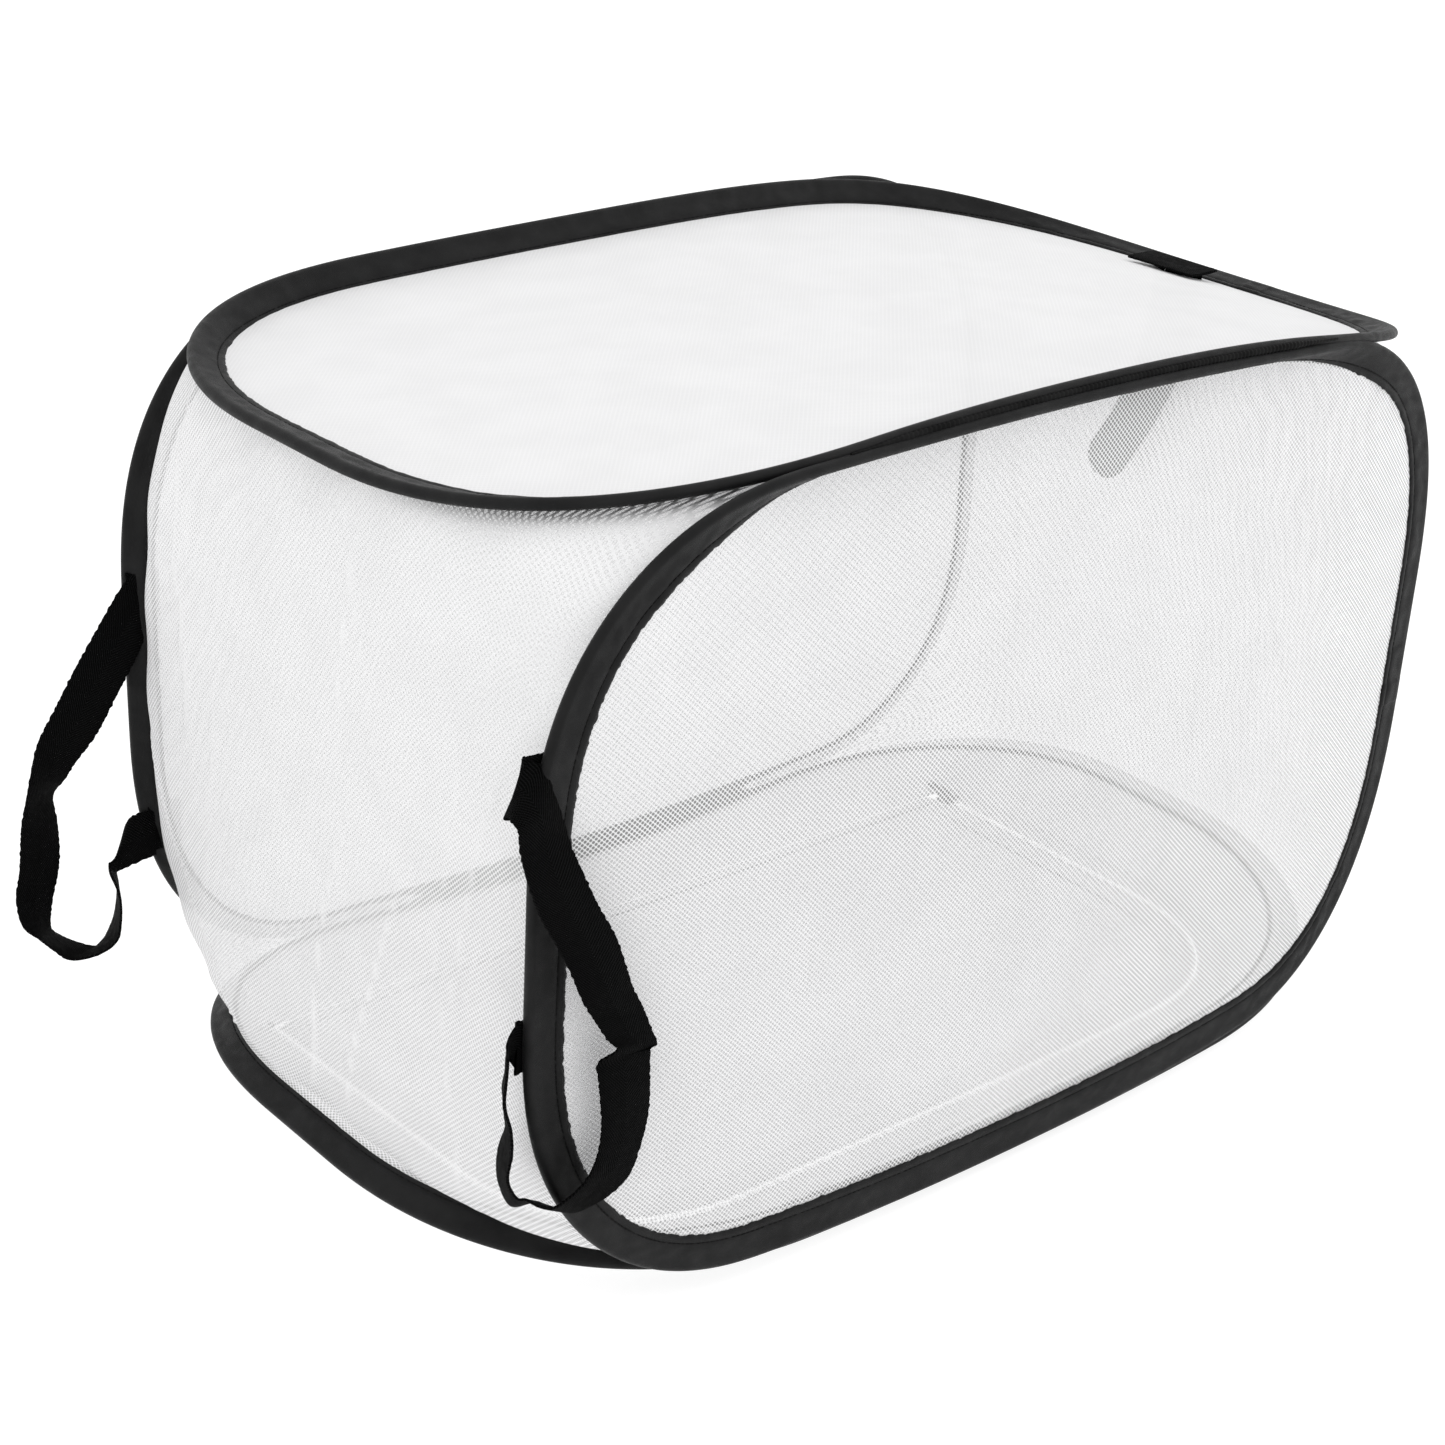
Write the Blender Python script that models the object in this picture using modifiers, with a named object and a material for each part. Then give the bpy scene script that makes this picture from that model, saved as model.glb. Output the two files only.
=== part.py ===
"""Pop-up mesh insect cage: four sprung hoops in fabric casings, mesh walls, a zipped floor door and webbing straps.

Each hoop is built flat in a frame of its own: X along the cage, Y away from its hinge edge, Z out of the cage.
"""
import math

import bmesh
import bpy
from mathutils import Matrix, Vector

# Cage body
cage_length = 0.600
cage_depth = 0.350
cage_height = 0.380

# Hoop outline: long straight sides and short straight ends, joined by corners with |x/a|^n + |y/b|^n = 1
corner_run = 0.186
end_straight_half = 0.018
corner_power = 2.7
corner_steps = 10

# Spring wire and the crimped sleeve that closes it
wire_radius = 0.00125
wire_end_gap = 0.001
sleeve_bore_radius = 0.00155
sleeve_wall = 0.00045
sleeve_length = 0.030

# Fabric casing folded round the wire, with the mesh wall gripped between its lips
casing_width = 0.020
casing_bead_radius = 0.0029
casing_ply = 0.0006
casing_flat_width = 0.002
casing_neck = 0.008
mesh_thickness = 0.0008
mesh_grip = 0.011
touch_gap = 0.0003

# Seam cords that join neighbouring hoops along their straight edges
seam_cord_radius = 0.0014
seam_cord_shift = 0.0015
seam_length = 0.200

# End walls
end_edge_tuck = 0.001
end_edge_gap = 0.0007
end_steps = 14

# Floor door and zip
zip_end_inset = 0.062
zip_front_inset = 0.038
zip_back_inset = 0.055
zip_corner = 0.100
zip_corner_power = 2.3
zip_corner_steps = 7
tape_width = 0.015
tape_thickness = 0.0008
coil_width = 0.0015
coil_height = 0.0015
coil_gap = 0.0016
mesh_set_back = 0.006
door_hinge_gap = 0.0006
door_trim_set_back = 0.003
tape_edge_clearance = 0.0006
clip_steps = 24
stop_length = 0.004

# Zip slider and its pull
slider_length = 0.012
slider_width = 0.0088
slider_nose_width = 0.006
slider_plate = 0.001
slider_clearance = 0.0004
slider_bridge_width = 0.0010
slider_bridge_length = 0.0025
slider_flange = 0.0008
lug_bar_radius = 0.0005
lug_post = 0.0009
lug_inner_width = 0.0032
pull_bore_radius = 0.0008
pull_eye_radius = 0.0014
pull_length = 0.024
pull_width = 0.0055
pull_thickness = 0.0012
pull_eye_clearance = 0.0003
pull_root = 0.0011

# Webbing handles on the left ends of the front and back hoops
webbing_width = 0.025
webbing_thickness = 0.0015
handle_spacing = 0.116
front_handle_lift = 0.018
back_handle_lift = -0.030
tab_sewn_length = 0.0175
handle_axis_offset = 0.003
strap_hem = 0.00075
handle_hem_gap = 0.0005
front_strap_reach = 0.040
front_strap_stand = 0.020
back_strap_reach = 0.060
back_strap_stand = 0.012
strap_samples_per_step = 3

# Hanging loop inside the right end of the top hoop
loop_width = 0.020
loop_drop = 0.120
loop_lean = 0.030
loop_leg_spacing = 0.017
loop_patch_length = 0.022
loop_patch_margin = 0.004
loop_patch_gap = 0.0012
loop_offset_y = 0.021

# Worked out from the sizes above
half_length = cage_length / 2
casing_thickness = 2 * casing_bead_radius
zip_half_length = half_length - zip_end_inset
mesh_level = casing_bead_radius
lip_inner = mesh_thickness / 2 + touch_gap
lip_outer = lip_inner + casing_ply
bead_inner = casing_bead_radius - casing_ply
seam_edge_gap = touch_gap / 2

# Strap routes, as shares of reach (along the hoop, inwards), stand (out of the cage) and spacing (up),
# then the way the strap's face looks: along the hoop, out of the cage and up.
front_strap_shares = [
    (-0.075, -0.052, 0.50, 0.0, -1.0, 0.0),
    (-0.160, -0.052, 0.50, 0.0, -1.0, 0.0),
    (-0.350, -0.052, 0.50, 0.0, -1.0, 0.0),
    (-0.800, 0.050, 0.50, -0.3, -1.0, 0.0),
    (-1.060, 0.350, 0.49, -1.0, 0.0, 0.0),
    (-0.860, 0.700, 0.45, -0.4, 0.9, 0.1),
    (-0.480, 0.840, 0.32, 0.0, 1.0, 0.1),
    (-0.060, 0.920, 0.09, 0.0, 1.0, 0.0),
    (0.360, 0.960, -0.18, 0.1, 1.0, 0.0),
    (0.600, 1.000, -0.42, 0.1, 1.0, 0.0),
    (0.660, 1.000, -0.64, 0.0, 1.0, 0.0),
    (0.520, 0.960, -0.86, 0.0, 1.0, 0.0),
    (0.160, 0.900, -1.02, 0.0, 1.0, -0.1),
    (-0.300, 0.860, -1.06, 0.0, 1.0, -0.1),
    (-0.740, 0.820, -0.96, 0.0, 1.0, 0.0),
    (-1.040, 0.760, -0.80, -0.1, 1.0, 0.0),
    (-1.080, 0.660, -0.66, -0.1, 1.0, 0.0),
    (-0.940, 0.520, -0.54, -0.2, 1.0, 0.0),
    (-0.680, 0.280, -0.50, -0.3, 1.0, 0.0),
    (-0.380, 0.020, -0.50, -0.2, 1.0, 0.0),
    (-0.240, -0.052, -0.50, 0.0, 1.0, 0.0),
    (-0.160, -0.052, -0.50, 0.0, 1.0, 0.0),
    (-0.075, -0.052, -0.50, 0.0, 1.0, 0.0),
]
back_strap_shares = [
    (-0.050, -0.088, 0.50, 0.0, -1.0, 0.0),
    (-0.110, -0.088, 0.50, 0.0, -1.0, 0.0),
    (-0.200, -0.088, 0.50, 0.0, -1.0, 0.1),
    (-0.400, 0.100, 0.50, 0.0, -0.6, 0.8),
    (-0.620, 0.300, 0.44, -0.5, -0.2, 0.9),
    (-0.800, 0.400, 0.30, -0.9, 0.0, 0.4),
    (-0.900, 0.500, 0.10, -1.0, 0.0, 0.1),
    (-0.960, 0.550, -0.15, -1.0, 0.0, 0.0),
    (-1.000, 0.600, -0.42, -1.0, 0.0, 0.0),
    (-0.980, 0.600, -0.70, -1.0, 0.0, -0.1),
    (-0.880, 0.550, -0.94, -0.8, 0.0, -0.6),
    (-0.690, 0.500, -1.04, 0.0, 0.0, -1.0),
    (-0.520, 0.450, -0.94, 0.8, 0.0, -0.5),
    (-0.460, 0.380, -0.77, 1.0, 0.0, -0.1),
    (-0.430, 0.280, -0.62, 0.9, 0.1, -0.4),
    (-0.340, 0.100, -0.53, 0.4, 0.6, -0.7),
    (-0.200, -0.088, -0.50, 0.0, 1.0, -0.1),
    (-0.110, -0.088, -0.50, 0.0, 1.0, 0.0),
    (-0.050, -0.088, -0.50, 0.0, 1.0, 0.0),
]
# Hanging loop, as shares of drop (down), lean (towards the back) and leg spacing, then the way its face looks
loop_shares = [
    (0.00, 0.00, -0.50, 0.8, 0.6),
    (0.22, 0.02, -0.50, 0.8, 0.6),
    (0.45, 0.10, -0.34, 0.8, 0.6),
    (0.66, 0.34, -0.18, 0.8, 0.5),
    (0.86, 0.72, -0.14, 0.9, 0.3),
    (0.97, 0.96, -0.12, 0.9, 0.2),
    (1.00, 1.04, 0.00, 1.0, 0.0),
    (0.96, 1.04, 0.14, 1.0, 0.0),
    (0.84, 0.80, 0.18, 0.9, -0.3),
    (0.64, 0.42, 0.22, 0.9, -0.4),
    (0.44, 0.16, 0.36, 0.8, -0.5),
    (0.22, 0.00, 0.50, 0.8, -0.6),
    (0.00, 0.00, 0.50, 0.8, -0.6),
]

for old in list(bpy.data.objects):
    bpy.data.objects.remove(old, do_unlink=True)

parts = bpy.data.collections.new("insect_cage")
cutters = bpy.data.collections.new("cutters")
bpy.context.scene.collection.children.link(parts)
bpy.context.scene.collection.children.link(cutters)


def finish(name, color, roughness, metallic=0.0):
    """One Principled finish with the colour, roughness and metal share of the real surface."""
    material = bpy.data.materials.new(name)
    material.use_nodes = True
    shader = material.node_tree.nodes["Principled BSDF"]
    shader.inputs["Base Color"].default_value = (*color, 1.0)
    shader.inputs["Roughness"].default_value = roughness
    shader.inputs["Metallic"].default_value = metallic
    return material


casing_black = finish("casing_black", (0.018, 0.018, 0.020), 0.65)
webbing_black = finish("webbing_black", (0.012, 0.012, 0.013), 0.85)
mesh_white = finish("mesh_white", (0.90, 0.90, 0.90), 0.80)
zip_white = finish("zip_white", (0.86, 0.86, 0.85), 0.60)
coil_white = finish("coil_white", (0.88, 0.88, 0.87), 0.45)
steel = finish("steel", (0.42, 0.42, 0.43), 0.30, 1.0)


def empty(name, place, turn=(0, 0, 0), parent=None):
    """A frame that carries pieces: an assembly's origin or a joint's axis."""
    frame = bpy.data.objects.new(name, None)
    frame.location = place
    frame.rotation_euler = turn
    frame.parent = parent
    parts.objects.link(frame)
    return frame


def add_piece(name, mesh, material, parent, place=(0, 0, 0)):
    """One sub-part with its own finish, set in the frame that carries it."""
    piece = bpy.data.objects.new(name, mesh)
    piece.data.materials.clear()
    piece.data.materials.append(material)
    piece.parent = parent
    piece.location = place
    parts.objects.link(piece)
    return piece


def loft(name, rings, closed):
    """A solid through rings of points: joined end to end where closed, else with a flat cap at each end."""
    work = bmesh.new()
    rows = [[work.verts.new(point) for point in ring] for ring in rings]
    count = len(rows[0])
    spans = len(rows) if closed else len(rows) - 1
    for i in range(spans):
        here, there = rows[i], rows[(i + 1) % len(rows)]
        for j in range(count):
            k = (j + 1) % count
            work.faces.new((here[j], here[k], there[k], there[j]))
    if not closed:
        work.faces.new(list(reversed(rows[0])))
        work.faces.new(rows[-1])
    bmesh.ops.recalc_face_normals(work, faces=work.faces)
    mesh = bpy.data.meshes.new(name)
    work.to_mesh(mesh)
    work.free()
    return mesh


def slab(name, outlines, low, high):
    """A flat sheet between two levels, with the first outline as its edge and any others as holes."""
    curve = bpy.data.curves.new(name, "CURVE")
    curve.dimensions = "2D"
    curve.fill_mode = "BOTH"
    curve.extrude = (high - low) / 2
    for outline in outlines:
        spline = curve.splines.new("POLY")
        spline.points.add(len(outline) - 1)
        for point, (x, y) in zip(spline.points, outline):
            point.co = (x, y, 0.0, 1.0)
        spline.use_cyclic_u = True
    return mesh_of_curve(name, curve, (0, 0, (low + high) / 2))


def mesh_of_curve(name, curve, shift=(0, 0, 0)):
    """The closed mesh of a curve, with its loose caps welded on and moved by a shift."""
    holder = bpy.data.objects.new(name, curve)
    parts.objects.link(holder)
    graph = bpy.context.evaluated_depsgraph_get()
    mesh = bpy.data.meshes.new_from_object(holder.evaluated_get(graph))
    bpy.data.objects.remove(holder)
    work = bmesh.new()
    work.from_mesh(mesh)
    bmesh.ops.remove_doubles(work, verts=work.verts, dist=touch_gap / 30)
    bmesh.ops.recalc_face_normals(work, faces=work.faces)
    bmesh.ops.translate(work, verts=work.verts, vec=shift)
    work.to_mesh(mesh)
    work.free()
    return mesh


def corner_arc(run, rise, power, steps):
    """One corner from its side to its end: |x/run|^n + |y/rise|^n = 1, in even steps of angle."""
    arc = []
    for i in range(steps + 1):
        angle = i / steps * math.pi / 2
        arc.append((run * math.cos(angle) ** (2 / power), rise * math.sin(angle) ** (2 / power)))
    return arc


def hoop_outline(depth, inset):
    """A hoop's outline at an inset from its outer edge: Y runs from 0 at the hinge edge to the panel's depth."""
    run = corner_run - inset
    rise = depth / 2 - end_straight_half - inset
    side = half_length - corner_run
    arc = corner_arc(run, rise, corner_power, corner_steps)
    quarter = [(side + x, end_straight_half + y) for x, y in arc]
    right = [(x, -y) for x, y in reversed(quarter)] + quarter
    loop = right + [(-x, -y) for x, y in right]
    return [(x, y + depth / 2) for x, y in loop]


def inward_normals(outline):
    """The unit normal at each point of a counter-clockwise outline, pointing into it."""
    count = len(outline)
    normals = []
    for i in range(count):
        before = Vector(outline[i - 1])
        after = Vector(outline[(i + 1) % count])
        along = (after - before).normalized()
        normals.append(Vector((-along.y, along.x)))
    return normals


def casing_section():
    """The folded casing in section: distance in from the edge, then height over the mesh wall's middle."""
    bead = casing_bead_radius
    slope = math.sqrt(0.5)
    flat = casing_flat_width / 2
    outer = [
        (casing_width, lip_outer),
        (casing_neck, lip_outer),
        (bead + flat, bead),
        (bead - flat, bead),
        (bead - bead * slope, bead * slope),
    ]
    inner = [
        (casing_width, lip_inner),
        (casing_neck, lip_inner),
        (bead, bead_inner),
        (bead - bead_inner * slope, bead_inner * slope),
    ]
    outside = outer + [(0.0, 0.0)] + [(s, -n) for s, n in reversed(outer)]
    inside = inner + [(bead - bead_inner, 0.0)] + [(s, -n) for s, n in reversed(inner)]
    return outside + list(reversed(inside))


def casing_mesh(name, depth):
    """The casing's section carried once round the hoop, turned to stay square to the edge."""
    outline = hoop_outline(depth, seam_edge_gap)
    section = casing_section()
    rings = []
    for (x, y), inward in zip(outline, inward_normals(outline)):
        rings.append([(x + inward.x * s, y + inward.y * s, mesh_level + n) for s, n in section])
    return loft(name, rings, closed=True)


def wire_mesh(name, depth):
    """The spring wire: one turn of the hoop whose two ends meet at the middle of the hinge edge."""
    outline = hoop_outline(depth, casing_bead_radius + seam_edge_gap)
    side_y = min(y for _, y in outline)
    low_right = [p for p in outline if p[1] < depth / 2 and p[0] > 0]
    first = outline.index(low_right[0])
    points = outline[first:] + outline[:first]
    points = [(wire_end_gap / 2, side_y)] + points + [(-wire_end_gap / 2, side_y)]
    curve = bpy.data.curves.new(name, "CURVE")
    curve.dimensions = "3D"
    curve.bevel_depth = wire_radius
    curve.bevel_resolution = 1
    curve.use_fill_caps = True
    spline = curve.splines.new("POLY")
    spline.points.add(len(points) - 1)
    for point, (x, y) in zip(spline.points, points):
        point.co = (x, y, mesh_level, 1.0)
    return mesh_of_curve(name, curve)


def sleeve_mesh(name, depth):
    """The crimped sleeve over the wire's two ends: an open tube given its wall."""
    work = bmesh.new()
    side_y = min(y for _, y in hoop_outline(depth, casing_bead_radius + seam_edge_gap))
    turn = Matrix.Translation((0, side_y, mesh_level)) @ Matrix.Rotation(math.pi / 2, 4, "Y")
    radius = sleeve_bore_radius + sleeve_wall
    bmesh.ops.create_cone(work, cap_ends=False, segments=12, radius1=radius, radius2=radius,
                          depth=sleeve_length, matrix=turn)
    bmesh.ops.recalc_face_normals(work, faces=work.faces)
    mesh = bpy.data.meshes.new(name)
    work.to_mesh(mesh)
    work.free()
    return mesh


def add_hoop(prefix, depth, parent):
    """One sprung hoop: its casing, the spring wire inside it and the sleeve that joins the wire's ends."""
    add_piece(prefix + "_casing", casing_mesh(prefix + "_casing", depth), casing_black, parent)
    add_piece(prefix + "_spring_wire", wire_mesh(prefix + "_spring_wire", depth), steel, parent)
    sleeve = add_piece(prefix + "_wire_sleeve", sleeve_mesh(prefix + "_wire_sleeve", depth), steel, parent)
    wall = sleeve.modifiers.new("wall", "SOLIDIFY")
    wall.thickness = sleeve_wall
    wall.offset = -1.0


def add_mesh_wall(name, depth, parent):
    """One hoop's mesh wall, gripped between the casing's lips."""
    edge = hoop_outline(depth, casing_width - mesh_grip)
    half = mesh_thickness / 2
    add_piece(name, slab(name, [edge], mesh_level - half, mesh_level + half), mesh_white, parent)


def end_profile(share):
    """An end wall's edge at an angle share from -1 to 1: place across the opening, then distance from mid-cage."""
    angle = abs(share) * math.pi / 2
    end = half_length - corner_run
    run = corner_run - casing_width + end_edge_tuck
    across = math.sin(angle) ** (2 / corner_power)
    reach = end + run * math.cos(angle) ** (2 / corner_power)
    return math.copysign(across, share), reach


def end_wall_mesh(name, side):
    """An end wall: each edge follows a hoop's end, and the corner draw-in is the product of both edges' own."""
    half_y = cage_depth / 2
    half_z = cage_height / 2
    deepest = end_profile(0.0)[1]
    full_draw = deepest - end_profile(1.0)[1]
    work = bmesh.new()
    rows = []
    for i in range(end_steps + 1):
        share_z = 2 * i / end_steps - 1
        place_z, reach_z = end_edge(share_z, half_z)
        row = []
        for j in range(end_steps + 1):
            share_y = 2 * j / end_steps - 1
            place_y, reach_y = end_edge(share_y, half_y)
            draw = (deepest - reach_y) * (deepest - reach_z) / full_draw
            row.append(work.verts.new((side * (deepest - draw), place_y, half_z + place_z)))
        rows.append(row)
    for i in range(end_steps):
        for j in range(end_steps):
            work.faces.new((rows[i][j], rows[i][j + 1], rows[i + 1][j + 1], rows[i + 1][j]))
    bmesh.ops.recalc_face_normals(work, faces=work.faces)
    mesh = bpy.data.meshes.new(name)
    work.to_mesh(mesh)
    work.free()
    return mesh


def end_edge(share, half):
    """A point of an end wall's edge: its place across the end, from the middle, and its reach from mid-cage."""
    split = end_straight_half / half
    if abs(share) <= split:
        return share * (half - end_edge_gap), end_profile(0.0)[1]
    turn = (abs(share) - split) / (1 - split)
    across, reach = end_profile(turn)
    place = (end_straight_half + (half - end_straight_half) * across) * (1 - end_edge_gap / half)
    return math.copysign(place, share), reach


def add_end_wall(name, side, parent):
    """A mesh end wall, sewn inside the four hoops' ends."""
    wall = add_piece(name, end_wall_mesh(name, side), mesh_white, parent)
    cloth = wall.modifiers.new("cloth", "SOLIDIFY")
    cloth.thickness = mesh_thickness
    cloth.offset = 0.0


def zip_route(offset):
    """The zip's U at a sideways offset outwards from its middle: right leg, front and left leg, in cage axes."""
    radius = zip_corner + offset
    side = zip_half_length - zip_corner
    front = cage_depth / 2 - zip_front_inset - zip_corner
    back = cage_depth / 2 - zip_back_inset
    quarter = [(side + x, -front - y) for x, y in
               corner_arc(radius, radius, zip_corner_power, zip_corner_steps)]
    right = [(zip_half_length + offset, back)] + quarter
    return right + [(-x, y) for x, y in reversed(right)]


def clip_to_casing(near, far):
    """Draws a far point back towards its near one until it lies inside the bottom casing's inner edge."""
    inset = casing_width + tape_edge_clearance
    run = corner_run - inset
    rise = cage_depth / 2 - end_straight_half - inset
    for k in range(clip_steps + 1):
        share = 1 - k / clip_steps
        x, y = (n + (f - n) * share for n, f in zip(near, far))
        over_x = max(abs(x) - (half_length - corner_run), 0.0) / run
        over_y = max(abs(y) - end_straight_half, 0.0) / rise
        if over_x ** corner_power + over_y ** corner_power <= 1:
            return x, y
    return near


def strip_mesh(name, inner, outer, low, high, right_trim=0.0, left_trim=0.0):
    """A flat strip that runs along the zip between two offsets and two levels; its ends can stop short."""
    near, far = zip_route(inner), zip_route(outer)
    for line in (near, far):
        line[0] = (line[0][0], line[0][1] - right_trim)
        line[-1] = (line[-1][0], line[-1][1] - left_trim)
    far = [clip_to_casing(n, f) for n, f in zip(near, far)]
    rings = []
    for (ax, ay), (bx, by) in zip(near, far):
        rings.append([(ax, ay, low), (bx, by, low), (bx, by, high), (ax, ay, high)])
    return loft(name, rings, closed=False)


def union(name, meshes, material, parent, place=(0, 0, 0)):
    """Overlapping solids joined into one body: the first carries a Boolean for each of the others."""
    piece = add_piece(name, meshes[0], material, parent, place)
    for i, mesh in enumerate(meshes[1:]):
        tool = bpy.data.objects.new(name + "_tool_" + str(i), mesh)
        tool.parent = parent
        tool.location = place
        tool.hide_render = True
        tool.display_type = "WIRE"
        cutters.objects.link(tool)
        join = piece.modifiers.new("join_" + str(i), "BOOLEAN")
        join.operation = "UNION"
        join.object = tool
    return piece


def block(name, low, high):
    """A rectangular bar between two corners, from a cube."""
    work = bmesh.new()
    size = [h - l for l, h in zip(low, high)]
    middle = [(l + h) / 2 for l, h in zip(low, high)]
    matrix = Matrix.Translation(middle) @ Matrix.Diagonal((*size, 1.0))
    bmesh.ops.create_cube(work, size=1.0, matrix=matrix)
    mesh = bpy.data.meshes.new(name)
    work.to_mesh(mesh)
    work.free()
    return mesh


def round_bar(name, radius, length, place, segments=12):
    """A round bar along X, centred on a place."""
    work = bmesh.new()
    matrix = Matrix.Translation(place) @ Matrix.Rotation(math.pi / 2, 4, "Y")
    bmesh.ops.create_cone(work, cap_ends=True, segments=segments, radius1=radius, radius2=radius,
                          depth=length, matrix=matrix)
    mesh = bpy.data.meshes.new(name)
    work.to_mesh(mesh)
    work.free()
    return mesh


def add_seam_cord(name, parent, y, z):
    """The rounded seam that joins two hoops along their straight edges."""
    add_piece(name, round_bar(name, seam_cord_radius, seam_length, (0, y, z), 8), casing_black, parent)


def smooth_route(points, steps):
    """A smooth curve through the points, in the Catmull-Rom form, with steps samples between neighbours."""
    samples = []
    last = len(points) - 1
    for i in range(last):
        p0 = points[max(i - 1, 0)]
        p1, p2 = points[i], points[i + 1]
        p3 = points[min(i + 2, last)]
        for k in range(steps):
            t = k / steps
            samples.append(0.5 * (2 * p1 + (p2 - p0) * t + (2 * p0 - 5 * p1 + 4 * p2 - p3) * t ** 2
                                  + (3 * p1 - p0 - 3 * p2 + p3) * t ** 3))
    samples.append(points[last])
    return samples


def strap_mesh(name, points, faces, width, thickness):
    """Flat webbing along a route: its face looks the given ways and its ends are cut square."""
    route = smooth_route(points, strap_samples_per_step)
    looks = smooth_route(faces, strap_samples_per_step)
    rings = []
    for i, (place, look) in enumerate(zip(route, looks)):
        along = (route[min(i + 1, len(route) - 1)] - route[max(i - 1, 0)]).normalized()
        face = (look - along * look.dot(along)).normalized()
        across = along.cross(face)
        if i == 0:
            place = place - along * strap_hem
        if i == len(route) - 1:
            place = place + along * strap_hem
        half_w = across * (width / 2)
        half_t = face * (thickness / 2)
        rings.append([place - half_w - half_t, place + half_w - half_t,
                      place + half_w + half_t, place - half_w + half_t])
    return loft(name, rings, closed=False)


def handle_points(shares, reach, stand, flip):
    """A handle's route in its joint's axes: X along the hoop, Y out of the cage and Z up from mid-handle."""
    points = []
    faces = []
    for along, out, up, face_along, face_out, face_up in shares:
        points.append(Vector((along * reach + handle_axis_offset, flip * (out * stand + handle_inset()),
                              up * handle_spacing)))
        faces.append(Vector((face_along, flip * face_out, face_up)))
    return points, faces


def handle_inset():
    """How far the straps' middle lies inside the hoop's inner face."""
    return touch_gap + webbing_thickness / 2


cage = empty("cage_origin", (0, 0, 0))
base = empty("base_frame", (0, -cage_depth / 2, casing_thickness), (0, math.pi, 0), cage)
front = empty("front_fold_axis", (0, -cage_depth / 2, casing_thickness), (math.pi / 2, 0, 0), cage)
back = empty("back_fold_axis", (0, cage_depth / 2, casing_thickness), (math.pi / 2, 0, math.pi), cage)
top = empty("top_fold_axis", (0, -cage_depth / 2, casing_thickness + cage_height), (0, 0, 0), cage)

add_hoop("bottom", cage_depth, base)
add_hoop("front", cage_height, front)
add_hoop("back", cage_height, back)
add_hoop("top", cage_depth, top)
add_mesh_wall("front_mesh", cage_height, front)
add_mesh_wall("back_mesh", cage_height, back)
add_mesh_wall("top_mesh", cage_depth, top)

cord_in = seam_cord_shift
add_seam_cord("front_top_seam", top, -cord_in, cord_in)
add_seam_cord("back_top_seam", top, cage_depth - cord_in, -cord_in)
add_seam_cord("front_bottom_seam", base, cord_in, -cord_in)
add_seam_cord("back_bottom_seam", base, cage_depth + cord_in, cord_in)

inside = empty("inside_frame", (0, 0, casing_thickness), parent=cage)
add_end_wall("left_end_mesh", -1, inside)
add_end_wall("right_end_mesh", 1, inside)

# Floor: a mesh border sewn into the bottom hoop, with the zipped door in it
floor = empty("floor_frame", (0, 0, casing_thickness - mesh_level), parent=cage)
half_mesh = mesh_thickness / 2
door_back = cage_depth / 2 - zip_back_inset
door_axis = empty("door_hinge_axis", (0, door_back, 0), parent=floor)
border_edge = [(x, y - cage_depth / 2) for x, y in hoop_outline(cage_depth, casing_width - mesh_grip)]
border_hole = zip_route(mesh_set_back)
border_hole[0] = (border_hole[0][0], door_back + door_hinge_gap)
border_hole[-1] = (border_hole[-1][0], door_back + door_hinge_gap)
add_piece("floor_border_mesh", slab("floor_border_mesh", [border_edge, border_hole], -half_mesh, half_mesh),
          mesh_white, floor)
tape_low = half_mesh + touch_gap
tape_high = tape_low + tape_thickness
coil_high = tape_low + coil_height
coil_near = coil_gap / 2
coil_far = coil_near + coil_width
tape_near = coil_far + touch_gap
tape_far = tape_near + tape_width
add_piece("outer_zip_tape", strip_mesh("outer_zip_tape", tape_near, tape_far, tape_low, tape_high), zip_white, floor)
outer_coil = strip_mesh("outer_zip_coil", coil_near, coil_far, tape_low, coil_high)
add_piece("outer_zip_coil", outer_coil, coil_white, floor)

# Door: everything sewn to it is placed from the hinge axis along its back edge
slider_park = slider_length + 2 * touch_gap + stop_length
door_edge = zip_route(-mesh_set_back)
door_edge[0] = (door_edge[0][0], door_back - touch_gap)
door_edge[-1] = (door_edge[-1][0], door_back - touch_gap)
door = slab("door_mesh", [door_edge], -half_mesh, half_mesh)
add_piece("door_mesh", door, mesh_white, door_axis, (0, -door_back, 0))
inner_tape = strip_mesh("inner_zip_tape", -tape_near, -tape_far, tape_low, tape_high,
                        slider_park, door_trim_set_back)
add_piece("inner_zip_tape", inner_tape, zip_white, door_axis, (0, -door_back, 0))
inner_coil = strip_mesh("inner_zip_coil", -coil_near, -coil_far, tape_low, coil_high,
                        slider_park, door_trim_set_back)
add_piece("inner_zip_coil", inner_coil, coil_white, door_axis, (0, -door_back, 0))

# Stops that close both ends of the zip, over its last coils
stop_low = coil_high + touch_gap
stop_high = stop_low + coil_height
for stop_name, stop_side in (("left_zip_stop", -1), ("right_zip_stop", 1)):
    inner_x = stop_side * zip_half_length + coil_near
    outer_x = stop_side * zip_half_length + coil_far
    if stop_side < 0:
        inner_x, outer_x = stop_side * zip_half_length - coil_far, stop_side * zip_half_length - coil_near
    add_piece(stop_name, block(stop_name, (inner_x, door_back - stop_length, stop_low),
                               (outer_x, door_back, stop_high)), steel, floor)

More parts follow.
